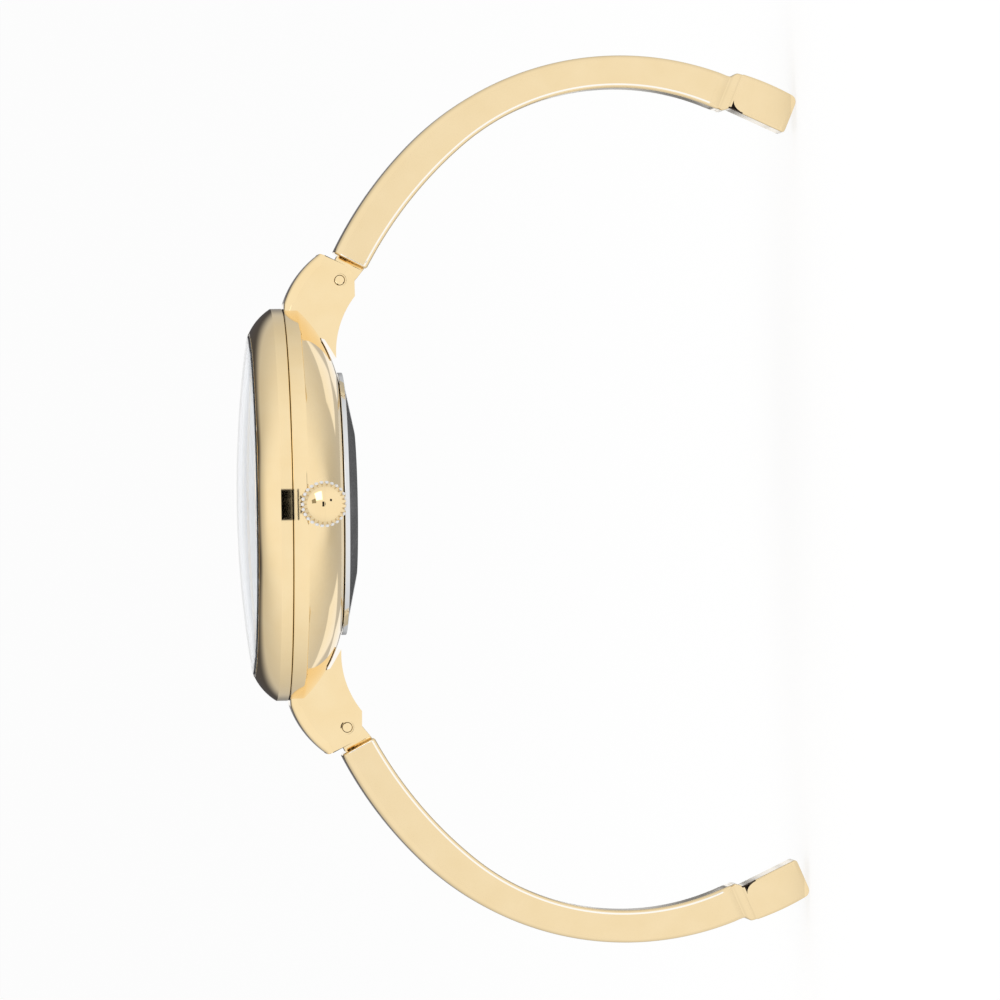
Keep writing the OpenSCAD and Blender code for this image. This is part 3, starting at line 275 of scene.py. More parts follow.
# Rounds the corners of an outline whose points are (a, b) or (a, b, radius)
def roundCorners(points, steps=5):
    made = []
    for i, point in enumerate(points):
        here = Vector(point[:2])
        if len(point) < 3 or not point[2]:
            made.append(tuple(here))
            continue
        back = (Vector(points[i - 1][:2]) - here).normalized()
        on = (Vector(points[(i + 1) % len(points)][:2]) - here).normalized()
        half = back.angle(on) / 2
        centre = here + (back + on).normalized() * point[2] / math.sin(half)
        first = here + back * point[2] / math.tan(half) - centre
        last = here + on * point[2] / math.tan(half) - centre
        sweep = math.atan2(first.x * last.y - first.y * last.x, first.dot(last))
        for k in range(steps + 1):
            made.append(tuple(centre + Matrix.Rotation(sweep * k / steps, 2) @ first))
    return made


# Solids as bmesh, in millimetres
def fromPoints(points, faces):
    solid = bmesh.new()
    made = [solid.verts.new(p) for p in points]
    for face in faces:
        solid.faces.new([made[i] for i in face])
    bmesh.ops.recalc_face_normals(solid, faces=solid.faces)
    return solid


def lathe(profile, steps):
    points, rings, faces = [], [], []
    for r, z in profile:
        count = 1 if r < 1e-6 else steps
        rings.append(range(len(points), len(points) + count))
        turns = [2 * math.pi * i / steps for i in range(count)]
        points += [(r * math.cos(t), r * math.sin(t), z) for t in turns]
    for a, b in zip(rings, rings[1:] + rings[:1]):
        for i in range(steps):
            j = (i + 1) % steps
            ring = [a[i % len(a)], a[j % len(a)], b[j % len(b)], b[i % len(b)]]
            face = [p for k, p in enumerate(ring) if p not in ring[:k]]
            if len(face) > 2:
                faces.append(face)
    return fromPoints(points, faces)


def prism(outline, half):
    count = len(outline)
    points = [(s * half, y, z) for s in (-1, 1) for y, z in outline]
    faces = [range(count), range(count, 2 * count)]
    faces += [[i, (i + 1) % count, (i + 1) % count + count, i + count] for i in range(count)]
    return fromPoints(points, faces)


def loft(rings):
    count = len(rings[0])
    points = [p for ring in rings for p in ring]
    faces = [range(count), range(len(points) - count, len(points))]
    for k in range(0, count * (len(rings) - 1), count):
        faces += [[k + i, k + (i + 1) % count, k + count + (i + 1) % count, k + count + i]
                  for i in range(count)]
    return fromPoints(points, faces)


def bevelEdges(solid, pick, width, segments, clamp=True):
    edges = [e for e in solid.edges if pick(e)]
    bmesh.ops.bevel(solid, geom=edges, offset=width, segments=segments, profile=0.5, affect="EDGES",
                    clamp_overlap=clamp, offset_type="OFFSET")


def mirrorSolid(solid):
    bmesh.ops.transform(solid, matrix=Matrix.Scale(-1, 4, (0, 1, 0)), verts=solid.verts)
    bmesh.ops.recalc_face_normals(solid, faces=solid.faces)
    return solid


# Turns a solid drawn along +Z so that it lies along +X on the stem's line, from x onwards
def alongStem(solid, x, height):
    place = Matrix.Translation((x, 0, height)) @ Matrix.Rotation(math.radians(90), 4, "Y")
    bmesh.ops.transform(solid, matrix=place, verts=solid.verts)
    return solid


def toObject(name, solid):
    bmesh.ops.scale(solid, vec=(mm, mm, mm), verts=solid.verts)
    mesh = bpy.data.meshes.new(name)
    solid.to_mesh(mesh)
    solid.free()
    made = bpy.data.objects.new(name, mesh)
    bpy.context.scene.collection.objects.link(made)
    return made


def bakeModifiers(thing):
    graph = bpy.context.evaluated_depsgraph_get()
    done = thing.evaluated_get(graph)
    mesh = bpy.data.meshes.new_from_object(done, preserve_all_data_layers=True, depsgraph=graph)
    thing.modifiers.clear()
    thing.data = mesh


def combine(thing, other, operation, useSelf=False):
    cut = thing.modifiers.new("combine", "BOOLEAN")
    cut.operation = operation
    cut.solver = "EXACT"
    cut.use_self = useSelf
    cut.object = other
    bakeModifiers(thing)
    bpy.data.objects.remove(other)


# Marks the faces that the test picks by centre (mm) and normal: they get the piece's second finish
def markFaces(thing, test):
    for face in thing.data.polygons:
        face.material_index = 1 if test(face.center / mm, face.normal) else 0


# Smooth shading that stays flat on the flats, then the body of the piece and the CAD nodes that it replaces
def finishPiece(thing, material, body, replaced, sharpAngle=32, second=None):
    marks = [face.material_index for face in thing.data.polygons]
    thing.data.materials.clear()
    thing.data.materials.append(material)
    if any(marks):
        thing.data.materials.append(second)
    for face, mark in zip(thing.data.polygons, marks):
        face.material_index = min(mark, 1)
    thing.data.shade_smooth()
    thing.data.set_sharp_from_angle(angle=math.radians(sharpAngle))
    flats = thing.modifiers.new("flats", "WEIGHTED_NORMAL")
    flats.keep_sharp = True
    flats.weight = 90
    bakeModifiers(thing)
    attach(thing, body)
    if replaced:
        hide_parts(*replaced)
    return thing


# Case: the bowl with its inside, and a lug at 12 and at 6 o'clock
caseSize = {"radius": 18, "bottom": 1.15, "bowlRadius": 13, "bowlInset": 9.4, "bandStart": 5.02, "seam": 6.32,
            "backBore": 10, "cavity": 14.1, "cavityFloor": 3.2, "skirtSeat": 16.95, "skirtFloor": 5.6,
            "creaseRound": 0.35, "seamBevel": 0.05, "steps": 256, "stemBore": 1.02, "stemHeight": 3.6,
            "boreStart": 12, "boreLength": 8, "cutRadius": 18.05, "cutTop": 12}
lugSize = {"half": 2.8, "rootIn": 2.5, "frontRadius": 9.18, "frontIn": 2.52, "frontDrop": 3.56,
           "frontArc": (18.4, 53.2), "tip": (2.4, 1.9), "tipLow": (2.43, 1.74), "heel": (1.36, -0.54),
           "cornerRadius": 1.76, "cornerIn": 0.2, "cornerUp": 0.4, "underRadius": 8.36, "underIn": 4.18,
           "underDrop": 7.92, "underArc": (38.5, -3.2), "footIn": 2.93, "footUp": 1.41, "facet": 0.95,
           "facetFall": 0.07, "facetArc": (22, 49), "facetHead": (-0.12, 0.3), "facetFoot": (-0.12, -0.42),
           "frontRound": 0.5, "edgeRound": 0.13, "slotHalf": 1.3, "slotRadius": 1.35, "slotOpen": 14,
           "slotShut": 70, "slotReach": 4.5, "frontSteps": 30}
pin = {"y": 20.5, "z": 1.1, "radius": 0.5, "ring": 0.12, "ringDepth": 0.22, "play": 0.02}


def bowlProfile(c):
    centre = (c["radius"] - c["bowlInset"],
              c["bandStart"] + math.sqrt(c["bowlRadius"] ** 2 - c["bowlInset"] ** 2))
    lowest = math.degrees(math.acos((c["bottom"] - centre[1]) / c["bowlRadius"]))
    bandAngle = 180 - math.degrees(math.asin(c["bowlInset"] / c["bowlRadius"]))
    curve = arc(centre, c["bowlRadius"], lowest, bandAngle + 1.2, 60)
    outer = [(c["backBore"] + 0.06, c["bottom"])] + curve
    crease = [(c["radius"], c["bandStart"], c["creaseRound"])]
    edge = [(c["radius"], c["seam"] - 0.1), (c["radius"], c["seam"] - c["seamBevel"]),
            (c["radius"] - c["seamBevel"], c["seam"])]
    inner = [(c["skirtSeat"], c["seam"]), (c["skirtSeat"], c["skirtFloor"]), (c["cavity"], c["skirtFloor"]),
             (c["cavity"], c["cavityFloor"]), (c["backBore"], c["cavityFloor"]),
             (c["backBore"], c["bottom"] + 0.06)]
    return roundCorners(outer + crease + edge + inner)


def lugSolid(l, c, p):
    hinge = Vector((p["y"], p["z"]))
    frontCentre = (c["radius"] - l["frontIn"], p["z"] - l["frontDrop"])
    front = arc(frontCentre, l["frontRadius"], *l["frontArc"], l["frontSteps"])
    front.append(tuple(hinge + Vector(l["tip"])))
    back = [tuple(hinge + Vector(l["tipLow"])), tuple(hinge + Vector(l["heel"]))]
    back += arc((p["y"] - l["cornerIn"], p["z"] + l["cornerUp"]), l["cornerRadius"], 125, 180, 12)
    back += arc((c["radius"] - l["underIn"], p["z"] - l["underDrop"]), l["underRadius"], *l["underArc"], 26)
    back += [(c["radius"] - l["footIn"], c["bottom"] + l["footUp"]),
             (c["radius"] - l["rootIn"], c["cavityFloor"] + 0.4),
             (c["radius"] - l["rootIn"], c["seam"] + 0.1)]
    # the side's flat starts at this line and falls off from it towards the front, point for point
    facet = arc(frontCentre, l["frontRadius"] - l["facet"], *l["facetArc"], l["frontSteps"] - 1)
    facet.insert(0, tuple(Vector(facet[0]) + Vector(l["facetHead"])))
    facet.append(tuple(hinge + Vector(l["tipLow"]) + Vector(l["facetFoot"])))
    count, rest = len(front), len(back)
    points, faces = [], []
    for side in (-1, 1):
        start = len(points)
        points += [(side * (l["half"] - l["facetFall"]), y, z) for y, z in front]
        points += [(side * l["half"], y, z) for y, z in facet + back]
        faces += [[start + i, start + i + 1, start + count + i + 1, start + count + i]
                  for i in range(count - 1)]
        faces.append([start + count + i for i in range(count)]
                     + [start + 2 * count + i for i in range(1, rest)])
        faces.append([start + 2 * count, start + count - 1, start + 2 * count - 1])
        faces.append([start + 2 * count, start + 2 * count - 1, start + 2 * count + 1])
        faces.append([start, start + count, start + 2 * count + rest - 1])
    loop = list(range(count)) + [2 * count + i for i in range(rest)]
    shift = len(points) // 2
    faces += [[a, b, b + shift, a + shift] for a, b in zip(loop, loop[1:] + loop[:1])]
    return fromPoints(points, faces)


def roundLug(solid, l, c):
    def onRim(edge):
        tilts = [abs(f.normal.x) for f in edge.link_faces]
        return len(tilts) == 2 and max(tilts) > 0.9 and min(tilts) < 0.1

    def isFront(edge):
        middle = (edge.verts[0].co + edge.verts[1].co) / 2
        return onRim(edge) and abs(middle.x) < l["half"] - l["facetFall"] / 2 and middle.z > 2.95

    def isSide(edge):
        spot = edge.verts[0].co
        return onRim(edge) and abs(spot.x) > l["half"] - 1e-4 and spot.y > 16

    solid.normal_update()
    bevelEdges(solid, isFront, l["frontRound"], 6, False)
    solid.normal_update()
    bevelEdges(solid, isSide, l["edgeRound"], 3)
    return solid


def slotSolid(l, p):
    hinge = Vector((p["y"], p["z"]))
    ends = []
    for angle, side in ((l["slotOpen"], 1), (l["slotShut"], -1)):
        ends.append(tuple(hinge + side * polar(l["slotRadius"], angle) + polar(l["slotReach"], angle + 90)))
    nose = arc(hinge, l["slotRadius"], l["slotOpen"], l["slotShut"] - 180, 24)
    return prism(ends[:1] + nose + ends[1:], l["slotHalf"])


def pinHole(p, half):
    return prism(arc((p["y"], p["z"]), p["radius"] + p["play"], 0, 345, 47), half + 1)


def pinRing(p, half, side):
    ring = prism(arc((p["y"], p["z"]), p["radius"] + p["ring"], 0, 352.5, 47), 0.5)
    bmesh.ops.translate(ring, vec=(side * (half - p["ringDepth"] + 0.5), 0, 0), verts=ring.verts)
    return ring


def inPinRing(c):
    out = math.hypot(abs(c.y) - pin["y"], c.z - pin["z"])
    outermost = pin["radius"] + pin["ring"] + 0.003
    return abs(c.x) > lugSize["half"] - pin["ringDepth"] - 0.01 and pin["radius"] < out < outermost


def makeCase():
    case = toObject("caseShell", lathe(bowlProfile(caseSize), caseSize["steps"]))
    for mirrored in (False, True):
        def place(solid):
            return mirrorSolid(solid) if mirrored else solid

        lug = toObject("lug", place(roundLug(lugSolid(lugSize, caseSize, pin), lugSize, caseSize)))
        for cutter in (slotSolid(lugSize, pin), pinHole(pin, lugSize["half"]),
                       pinRing(pin, lugSize["half"], 1), pinRing(pin, lugSize["half"], -1)):
            combine(lug, toObject("cutter", place(cutter)), "DIFFERENCE", True)
        out, top = caseSize["cutRadius"], caseSize["cutTop"]
        room = [(0, caseSize["skirtFloor"]), (caseSize["skirtSeat"], caseSize["skirtFloor"]),
                (caseSize["skirtSeat"], caseSize["seam"]), (out, caseSize["seam"]), (out, top), (0, top)]
        combine(lug, toObject("cutter", lathe(room, caseSize["steps"])), "DIFFERENCE")
        combine(case, lug, "UNION")
    bore, length = caseSize["stemBore"], caseSize["boreLength"]
    hole = lathe([(0, 0), (bore, 0), (bore, length), (0, length)], 48)
    hole = alongStem(hole, caseSize["boreStart"], caseSize["stemHeight"])
    combine(case, toObject("cutter", hole), "DIFFERENCE")

    def inSeam(c):
        out = math.hypot(c.x, c.y)
        return abs(c.z - caseSize["seam"]) < 0.002 and out < caseSize["radius"] - caseSize["seamBevel"]

    # painted shade in the hinge-pin rings and on the seam's flat
    markFaces(case, lambda c, n: inPinRing(c) or inSeam(c))
    finishPiece(case, gold, "case", ["case_body"], second=recessShadePaint)


makeCase()
print("case made")

# Bezel, turned in one piece with its skirt and the well for the crystal
bezelSize = {"radius": 18, "seam": 6.32, "band": 1.13, "slopeRise": 1.97, "slopeWidth": 2.22,
             "slopeRadius": 5.3, "well": 15.78, "seat": 8.2, "ledge": 14.9, "ledgeUnder": 7.7, "skirtIn": 15.5,
             "skirt": 16.9, "skirtFloor": 5.65, "seamBevel": 0.04, "seamGap": 0.09}


def makeBezel(b):
    top = b["seam"] + b["band"] + b["slopeRise"]
    chord = math.hypot(b["slopeWidth"], b["slopeRise"])
    lean = math.degrees(math.atan2(b["slopeWidth"], b["slopeRise"]))
    half = math.degrees(math.asin(chord / 2 / b["slopeRadius"]))
    start = math.radians(90 - lean + half)
    centre = (b["radius"] - b["slopeRadius"] * math.sin(start),
              b["seam"] + b["band"] - b["slopeRadius"] * math.cos(start))
    slope = arc(centre, b["slopeRadius"], 90 - lean + half, 90 - lean - half, 40)
    seam = b["seam"] + b["seamGap"]
    profile = [(b["skirtIn"], b["skirtFloor"]), (b["skirt"], b["skirtFloor"]), (b["skirt"], seam),
               (b["radius"] - b["seamBevel"], seam), (b["radius"], seam + b["seamBevel"]),
               (b["radius"], seam + 0.1), (b["radius"], b["seam"] + b["band"] - 0.08)]
    profile += slope + [(b["well"] + 0.02, top, 0), (b["well"], top - 0.05), (b["well"], b["seat"]),
                        (b["ledge"], b["seat"]), (b["ledge"], b["ledgeUnder"]),
                        (b["skirtIn"], b["ledgeUnder"])]
    bezel = toObject("bezelRing", lathe(roundCorners(profile), 256))
    flatOut = b["radius"] - b["seamBevel"] - 0.01
    # painted shade on the bezel's flat underside at the seam
    markFaces(bezel, lambda c, n: c.z < seam + 0.002 and math.hypot(c.x, c.y) < flatOut)
    finishPiece(bezel, gold, "case", ["bezel"], 20, recessShadePaint)


makeBezel(bezelSize)
print("bezel made")

# Crystal: one lens with a ground and rounded edge
crystalSize = {"radius": 15.54, "seat": 8.2, "edge": 9.55, "apex": 10.73, "thickness": 1.1, "rim": 0.25,
               "innerRadius": 14.6, "edgeRound": 0.14}


def domePoints(radius, foot, rise, steps, outward=True):
    ball = (radius * radius + rise * rise) / 2 / rise
    spread = math.degrees(math.asin(radius / ball))
    points = arc((0, foot + rise - ball), ball, spread, 0, steps)
    points[-1] = (0.0, points[-1][1])
    return points if outward else points[::-1]


def makeCrystal(k):
    outer = domePoints(k["radius"], k["edge"], k["apex"] - k["edge"], 48)
    foot = k["seat"] + k["rim"]
    inner = domePoints(k["innerRadius"], foot, k["apex"] - k["thickness"] - foot, 48, False)
    edge = [(k["radius"], k["seat"], 0), (k["radius"], k["edge"], k["edgeRound"])]
    profile = roundCorners(inner + [(k["innerRadius"], k["seat"])] + edge + outer[1:])
    crystal = toObject("crystalLens", lathe(profile, 192))
    finishPiece(crystal, glass, "case", ["crystal"])
    crystal.visible_shadow = False  # the dial below is lit as through clear glass


makeCrystal(crystalSize)
print("crystal made")

# Caseback: a flat middle, a cone, a thin flange and the snap rim inside the case
backSize = {"flat": 7.35, "flange": 12.05, "cone": 0.95, "bottom": 1.15, "rim": 9.95, "rimTop": 2.3,
            "rimWall": 0.7, "inner": 1.3, "flatRound": 0.25, "edgeRound": 0.05, "rimRound": 0.1, "lip": 0.25,
            "lipFoot": 11.3, "lipFootUp": 0.09, "seat": 10.6, "seatGap": 0.02}


def makeCaseback(k):
    low, wall = k["bottom"] - k["seatGap"], k["rim"] - k["rimWall"]
    profile = [(0, 0), (k["flat"], 0, k["flatRound"]), (k["flange"], k["cone"], k["edgeRound"]),
               (k["flange"], k["bottom"] + k["lip"], k["edgeRound"]),
               (k["lipFoot"], k["bottom"] + k["lipFootUp"]),
               (k["seat"], low), (k["rim"], low), (k["rim"], k["rimTop"], k["rimRound"]),
               (wall, k["rimTop"], k["rimRound"]), (wall, k["inner"]), (0, k["inner"])]
    caseback = toObject("casebackCover", lathe(roundCorners(profile), 256))
    finishPiece(caseback, steel, "case", ["caseback"], 8)


makeCaseback(backSize)
print("caseback made")


# Hinge pins with slightly domed ends
def makePins(p, half):
    for name, side in (("upper", 1), ("lower", -1)):
        r = p["radius"] - p["play"]
        dome = [(r, half - 0.09), (r - 0.06, half - 0.03), (r * 0.6, half - 0.01), (0, half)]
        profile = [(out, -along) for out, along in dome[::-1]] + dome
        rod = alongStem(lathe(profile, 64), 0, p["z"])
        bmesh.ops.translate(rod, vec=(0, side * p["y"], 0), verts=rod.verts)
        finishPiece(toObject(name + "HingePin", rod), gold, "case", [name + "_hinge_pin"])


makePins(pin, lugSize["half"])
print("hinge pins made")

# Arms, tongues and end caps of the two half bangles. "centre" is the middle of the arm's tighter outer arc,
# measured from the pin
armSize = {"half": 2.7, "rootThick": 3.34, "waistThick": 2.97, "radius1": 36.82, "radius2": 27.12,
           "bend": 45.7, "end": 112.85, "inRadius1": 37.64, "inRadius2": 21.8, "inBend": 49.7, "waist": 84.4,
           "root": 27.86, "faceAngle": 27.5, "centre": (-6.884, -25.739), "outerRound": (0.75, 0.34),
           "innerRound": 0.4, "capLead": 0.9, "curveStart": 27.4, "steps": 80,
           "faceSteps": ((0, 0.2), (0.03, 0.1), (0.1, 0.03), (0.2, 0))}  # forward from the face, inset
tongueSize = {"half": 1.2, "nose": 1.17, "front": 23.4, "back": 38.3, "edgeRound": 0.08, "topDrop": 0.45,
              "lowRise": 0.15, "into": 0.4, "fillet": 0.3, "neckTopDrop": 0.6, "neckRise": 0.2,
              "neckInto": 0.2, "neckRound": 0.1}


def armCurves(a, p):
    centre2 = Vector((p["y"] + a["centre"][0], p["z"] + a["centre"][1]))
    shift = a["radius2"] - a["waistThick"] - a["inRadius2"]
    centre3 = centre2 + polar(shift, a["waist"])
    centre4 = centre3 - polar(a["inRadius1"] - a["inRadius2"], a["inBend"])
    centre1 = centre2 - polar(a["radius1"] - a["radius2"], a["bend"])
    swing = math.asin(shift * math.sin(math.radians(a["end"] - a["waist"])) / a["inRadius2"])
    tipInside = centre3 + polar(a["inRadius2"], a["end"] + math.degrees(swing))
    tipThick = a["radius2"] - (tipInside - centre2).length
    return {"centre1": centre1, "centre2": centre2, "centre3": centre3, "centre4": centre4,
            "faceAt": centre4 + polar(a["inRadius1"], a["root"]), "faceWay": polar(1, a["faceAngle"]),
            "along": polar(1, a["root"] + 90),
            "capRoot": centre2 + polar(a["radius2"] - tipThick / 2, a["end"])}


curves = armCurves(armSize, pin)


# The arm's outside point at an angle, and the inside point straight below it
def armPair(a, k, angle):
    way = polar(1, angle)
    first = angle < a["bend"]
    outside = (k["centre1"] if first else k["centre2"]) + way * (a["radius1"] if first else a["radius2"])
    for centre, radius in ((k["centre3"], a["inRadius2"]), (k["centre4"], a["inRadius1"])):
        back = outside - centre
        along = back.dot(way)
        depth = along - math.sqrt(radius ** 2 - (back.length_squared - along ** 2))
        inside = outside - way * depth
        if math.degrees(math.atan2(inside.x - centre.x, inside.y - centre.y)) > a["inBend"]:
            break
    return inside, outside


# A rounded rectangle from the inside point to the outside one, as wide as the arm
def bandRing(inside, outside, half, outer, inner):
    thick = (outside - inside).length
    way = (outside - inside) / thick
    corners = [(-half, 0, inner), (half, 0, inner), (half, thick, outer), (-half, thick, outer)]
    return [(x, *(inside + way * n)) for x, n in roundCorners(corners, 8)]


def armSolid(a, k):
    faceTop = k["faceAt"] + a["rootThick"] * k["faceWay"]
    firstRound, lastRound = a["outerRound"]
    rings = []
    for forward, inset in a["faceSteps"]:
        inside = k["faceAt"] + inset * k["faceWay"] + forward * k["along"]
        outside = faceTop - inset * k["faceWay"] + forward * k["along"]
        rings.append(bandRing(inside, outside, a["half"] - inset, firstRound, a["innerRound"]))
    start, end = a["curveStart"], a["end"] - math.degrees(a["capLead"] / a["radius2"])
    for i in range(a["steps"] + 1):
        done = i / a["steps"]
        inside, outside = armPair(a, k, start + (end - start) * done)
        outer = firstRound + (lastRound - firstRound) * done
        rings.append(bandRing(inside, outside, a["half"], outer, a["innerRound"]))
    return loft(rings)


def tongueSolid(t, a, k, p):
    root = k["faceAt"] + (a["rootThick"] - t["topDrop"]) * k["faceWay"]
    low = k["faceAt"] + t["lowRise"] * k["faceWay"]
    into = t["into"] * k["along"]
    nose = arc((p["y"], p["z"]), t["nose"], t["front"], t["back"] - 180, 20)
    solid = prism([tuple(root + into), tuple(root)] + nose + [tuple(low), tuple(low + into)], t["half"])
    solid.normal_update()
    bevelEdges(solid, lambda e: {len(f.verts) > 4 for f in e.link_faces} == {True, False}, t["edgeRound"], 3)
    return solid


# The concave neck where the tongue runs out into the arm's end
def neckSolid(t, a, k):
    rings = []
    for turn in range(0, 91, 15):
        back = t["fillet"] * (math.sin(math.radians(turn)) - 1)
        half = t["half"] + t["fillet"] * (1 - math.cos(math.radians(turn)))
        low = k["faceAt"] + t["neckRise"] * k["faceWay"] + back * k["along"]
        high = k["faceAt"] + (a["rootThick"] - t["neckTopDrop"]) * k["faceWay"] + back * k["along"]
        rings.append(bandRing(low, high, half, t["neckRound"], t["neckRound"]))
    into = t["neckInto"] * k["along"]
    rings.append([(x, y + into.x, z + into.y) for x, y, z in rings[-1]])
    return loft(rings)


# Cap: rings of a rounded rectangle along the arm, with a groove, a shoulder and a ridge before the flat block
capSize = {"half": 2.9, "collar": 1.05, "length": 6.47, "outer": 2.355, "outerBow": 0.021, "bowAt": 3.0,
           "inner": -1.095, "innerFall": 0.045, "cornerOuter": 0.6, "cornerInner": 0.3, "endRound": 0.3,
           "edge": 0.22, "pocketDepth": 0.5, "pocketEdge": 0.09, "pocketLength": 1.15, "pocketHeight": 0.85,
           "pocketMiddle": (1.5, -0.8), "pocketReach": 0.75, "cutterHalf": 0.6}
# where along the arm, half width, inner side, outer side, corner rounding
capLead = [(-0.9, 2.7, -1.6, 1.62, 0.34), (-0.62, 2.69, -1.6, 1.62, 0.34), (-0.36, 2.66, -1.6, 1.62, 0.32),
           (-0.12, 2.6, -1.58, 1.65, 0.3), (-0.03, 2.56, -1.53, 1.68, 0.26), (0.02, 2.58, -1.53, 1.7, 0.25),
           (0.12, 2.67, -1.55, 1.82, 0.24), (0.24, 2.78, -1.57, 1.98, 0.24), (0.35, 2.85, -1.56, 2.09, 0.24),
           (0.46, 2.89, -1.51, 2.15, 0.23), (0.58, 2.9, -1.43, 2.18, 0.22), (0.74, 2.9, -1.31, 2.2, 0.22),
           (0.85, 2.885, -1.2, 2.21, 0.2), (0.91, 2.86, -1.13, 2.21, 0.18), (0.97, 2.885, -1.11, 2.23, 0.2)]


def capPoint(s, n, k, a):
    return k["capRoot"] + polar(s, a["end"] + 90) + polar(n, a["end"])


def capSolid(c, k, a):
    def outer(s):
        return c["outer"] - c["outerBow"] * (s - c["bowAt"]) ** 2

    def inner(s):
        return c["inner"] - c["innerFall"] * (s - c["collar"])

    rings = [bandRing(capPoint(s, low, k, a), capPoint(s, high, k, a), half, corner, corner)
             for s, half, low, high, corner in capLead]
    start = c["length"] - c["cornerOuter"]
    stations = [c["collar"] + (start - c["collar"]) * i / 12 for i in range(13)]
    stations += [start + c["cornerOuter"] * math.sin(math.radians(t)) for t in range(10, 91, 10)]
    for s in stations:
        drops = []
        for corner in (c["cornerOuter"], c["cornerInner"], c["endRound"]):
            past = max(0, s - (c["length"] - corner))
            drops.append(corner - math.sqrt(max(0, corner ** 2 - past ** 2)))
        rings.append(bandRing(capPoint(s, inner(s) + drops[1], k, a), capPoint(s, outer(s) - drops[0], k, a),
                              c["half"] - drops[2], c["edge"], c["edge"]))
    return loft(rings)


# A scooped pocket beside the collar, low on each side of the cap
def pocketSolid(c, k, a, side):
    start, low = c["collar"] + 0.02, c["inner"] + c["pocketEdge"]
    curve = [(1 + y, 1 + z) for y, z in arc((0, 0), 1.0, -90, -180, 10)]
    outline = [(start, low)]
    outline += [(start + y * c["pocketLength"], low + z * c["pocketHeight"]) for y, z in curve[:-1]]
    pocket = prism([tuple(capPoint(s, n, k, a)) for s, n in outline], c["cutterHalf"])
    shift = side * (c["half"] - c["pocketDepth"] + c["cutterHalf"])
    bmesh.ops.translate(pocket, vec=(shift, 0, 0), verts=pocket.verts)
    return pocket


def makeHalf(prefix, mirrored):
    def place(solid):
        return mirrorSolid(solid) if mirrored else solid

    # painted highlight: the rounding faces of the inner edges and of the end's edges next to the sides, where
    # they would catch the light
    def onPaintedHighlightEdge(c, n):
        flat = Vector((n.y * (1 if c.y > 0 else -1), n.z))
        middle = Vector((abs(c.y), c.z)) - curves["centre2"]
        return 0.924 < abs(n.x) < 0.9985 and (flat.dot(middle) < 0 or flat.dot(curves["along"]) < -0.25)

    body = prefix + "_half"
    arm = toObject(prefix + "Arm", place(armSolid(armSize, curves)))
    markFaces(arm, onPaintedHighlightEdge)
    finishPiece(arm, armGold, body, [prefix + "_arm"], second=edgeHighlightPaint)
    tongue = toObject(prefix + "HingeTongue", place(tongueSolid(tongueSize, armSize, curves, pin)))
    combine(tongue, toObject("neck", place(neckSolid(tongueSize, armSize, curves))), "UNION")
    finishPiece(tongue, gold, body, [prefix + "_hinge_tongue"])
    cap = toObject(prefix + "EndCap", place(capSolid(capSize, curves, armSize)))
    for side in (1, -1):
        combine(cap, toObject("cutter", place(pocketSolid(capSize, curves, armSize, side))), "DIFFERENCE")
    middle = capPoint(*capSize["pocketMiddle"], curves, armSize)
    deep, shallow = capSize["half"] - capSize["pocketDepth"] - 0.01, capSize["half"] - 0.01
    # painted shade in the cap's side pockets
    markFaces(cap, lambda c, n: deep < abs(c.x) < shallow
                and (Vector((abs(c.y), c.z)) - middle).length < capSize["pocketReach"])
    finishPiece(cap, armGold, body, [prefix + "_end_cap"], second=recessShadePaint)


makeHalf("upper", False)
makeHalf("lower", True)
print("arms made")


# Geometry Nodes: builds a tree with named inputs and runs it on an empty mesh
def newTree(name, inputs):
    tree = bpy.data.node_groups.new(name, "GeometryNodeTree")
    tree.interface.new_socket(name="Geometry", in_out="OUTPUT", socket_type="NodeSocketGeometry")
    for label, kind in inputs.items():
        tree.interface.new_socket(name=label, in_out="INPUT", socket_type="NodeSocket" + kind)
    return tree, tree.nodes.new("NodeGroupInput").outputs, tree.nodes.new("NodeGroupOutput")


def endTree(tree, geometry, material, result):
    real = addNode(tree, "GeometryNodeRealizeInstances", links={"Geometry": geometry})
    painted = addNode(tree, "GeometryNodeSetMaterial", {"Material": material}, {"Geometry": real})
    joinLinks(tree, result, {"Geometry": painted})


def runTree(name, tree, values):
    made = bpy.data.objects.new(name, bpy.data.meshes.new(name))
    bpy.context.scene.collection.objects.link(made)
    grower = made.modifiers.new("grower", "NODES")
    grower.node_group = tree
    for item in tree.interface.items_tree:
        if item.in_out == "INPUT":
            grower[item.identifier] = values[item.name]
    bakeModifiers(made)
    return made


# Crown: a turned core with a dome and a chamfer, and a ring of knurl ridges that run out over the chamfer
crownSize = {"start": 18.25, "height": 3.6, "length": 1.85, "radius": 2.1, "ridge": 0.18, "teeth": 26,
             "domeRadius": 1.6, "domeRise": 0.65, "recess": 1.3, "recessDepth": 1.15, "bore": 0.47,
             "chamfer": 0.45, "valley": 0.15, "capWall": 0.15, "knurlStart": 0.08, "knurlShort": 0.1,
             "ridgeSides": 14, "pointRadius": 0.02}


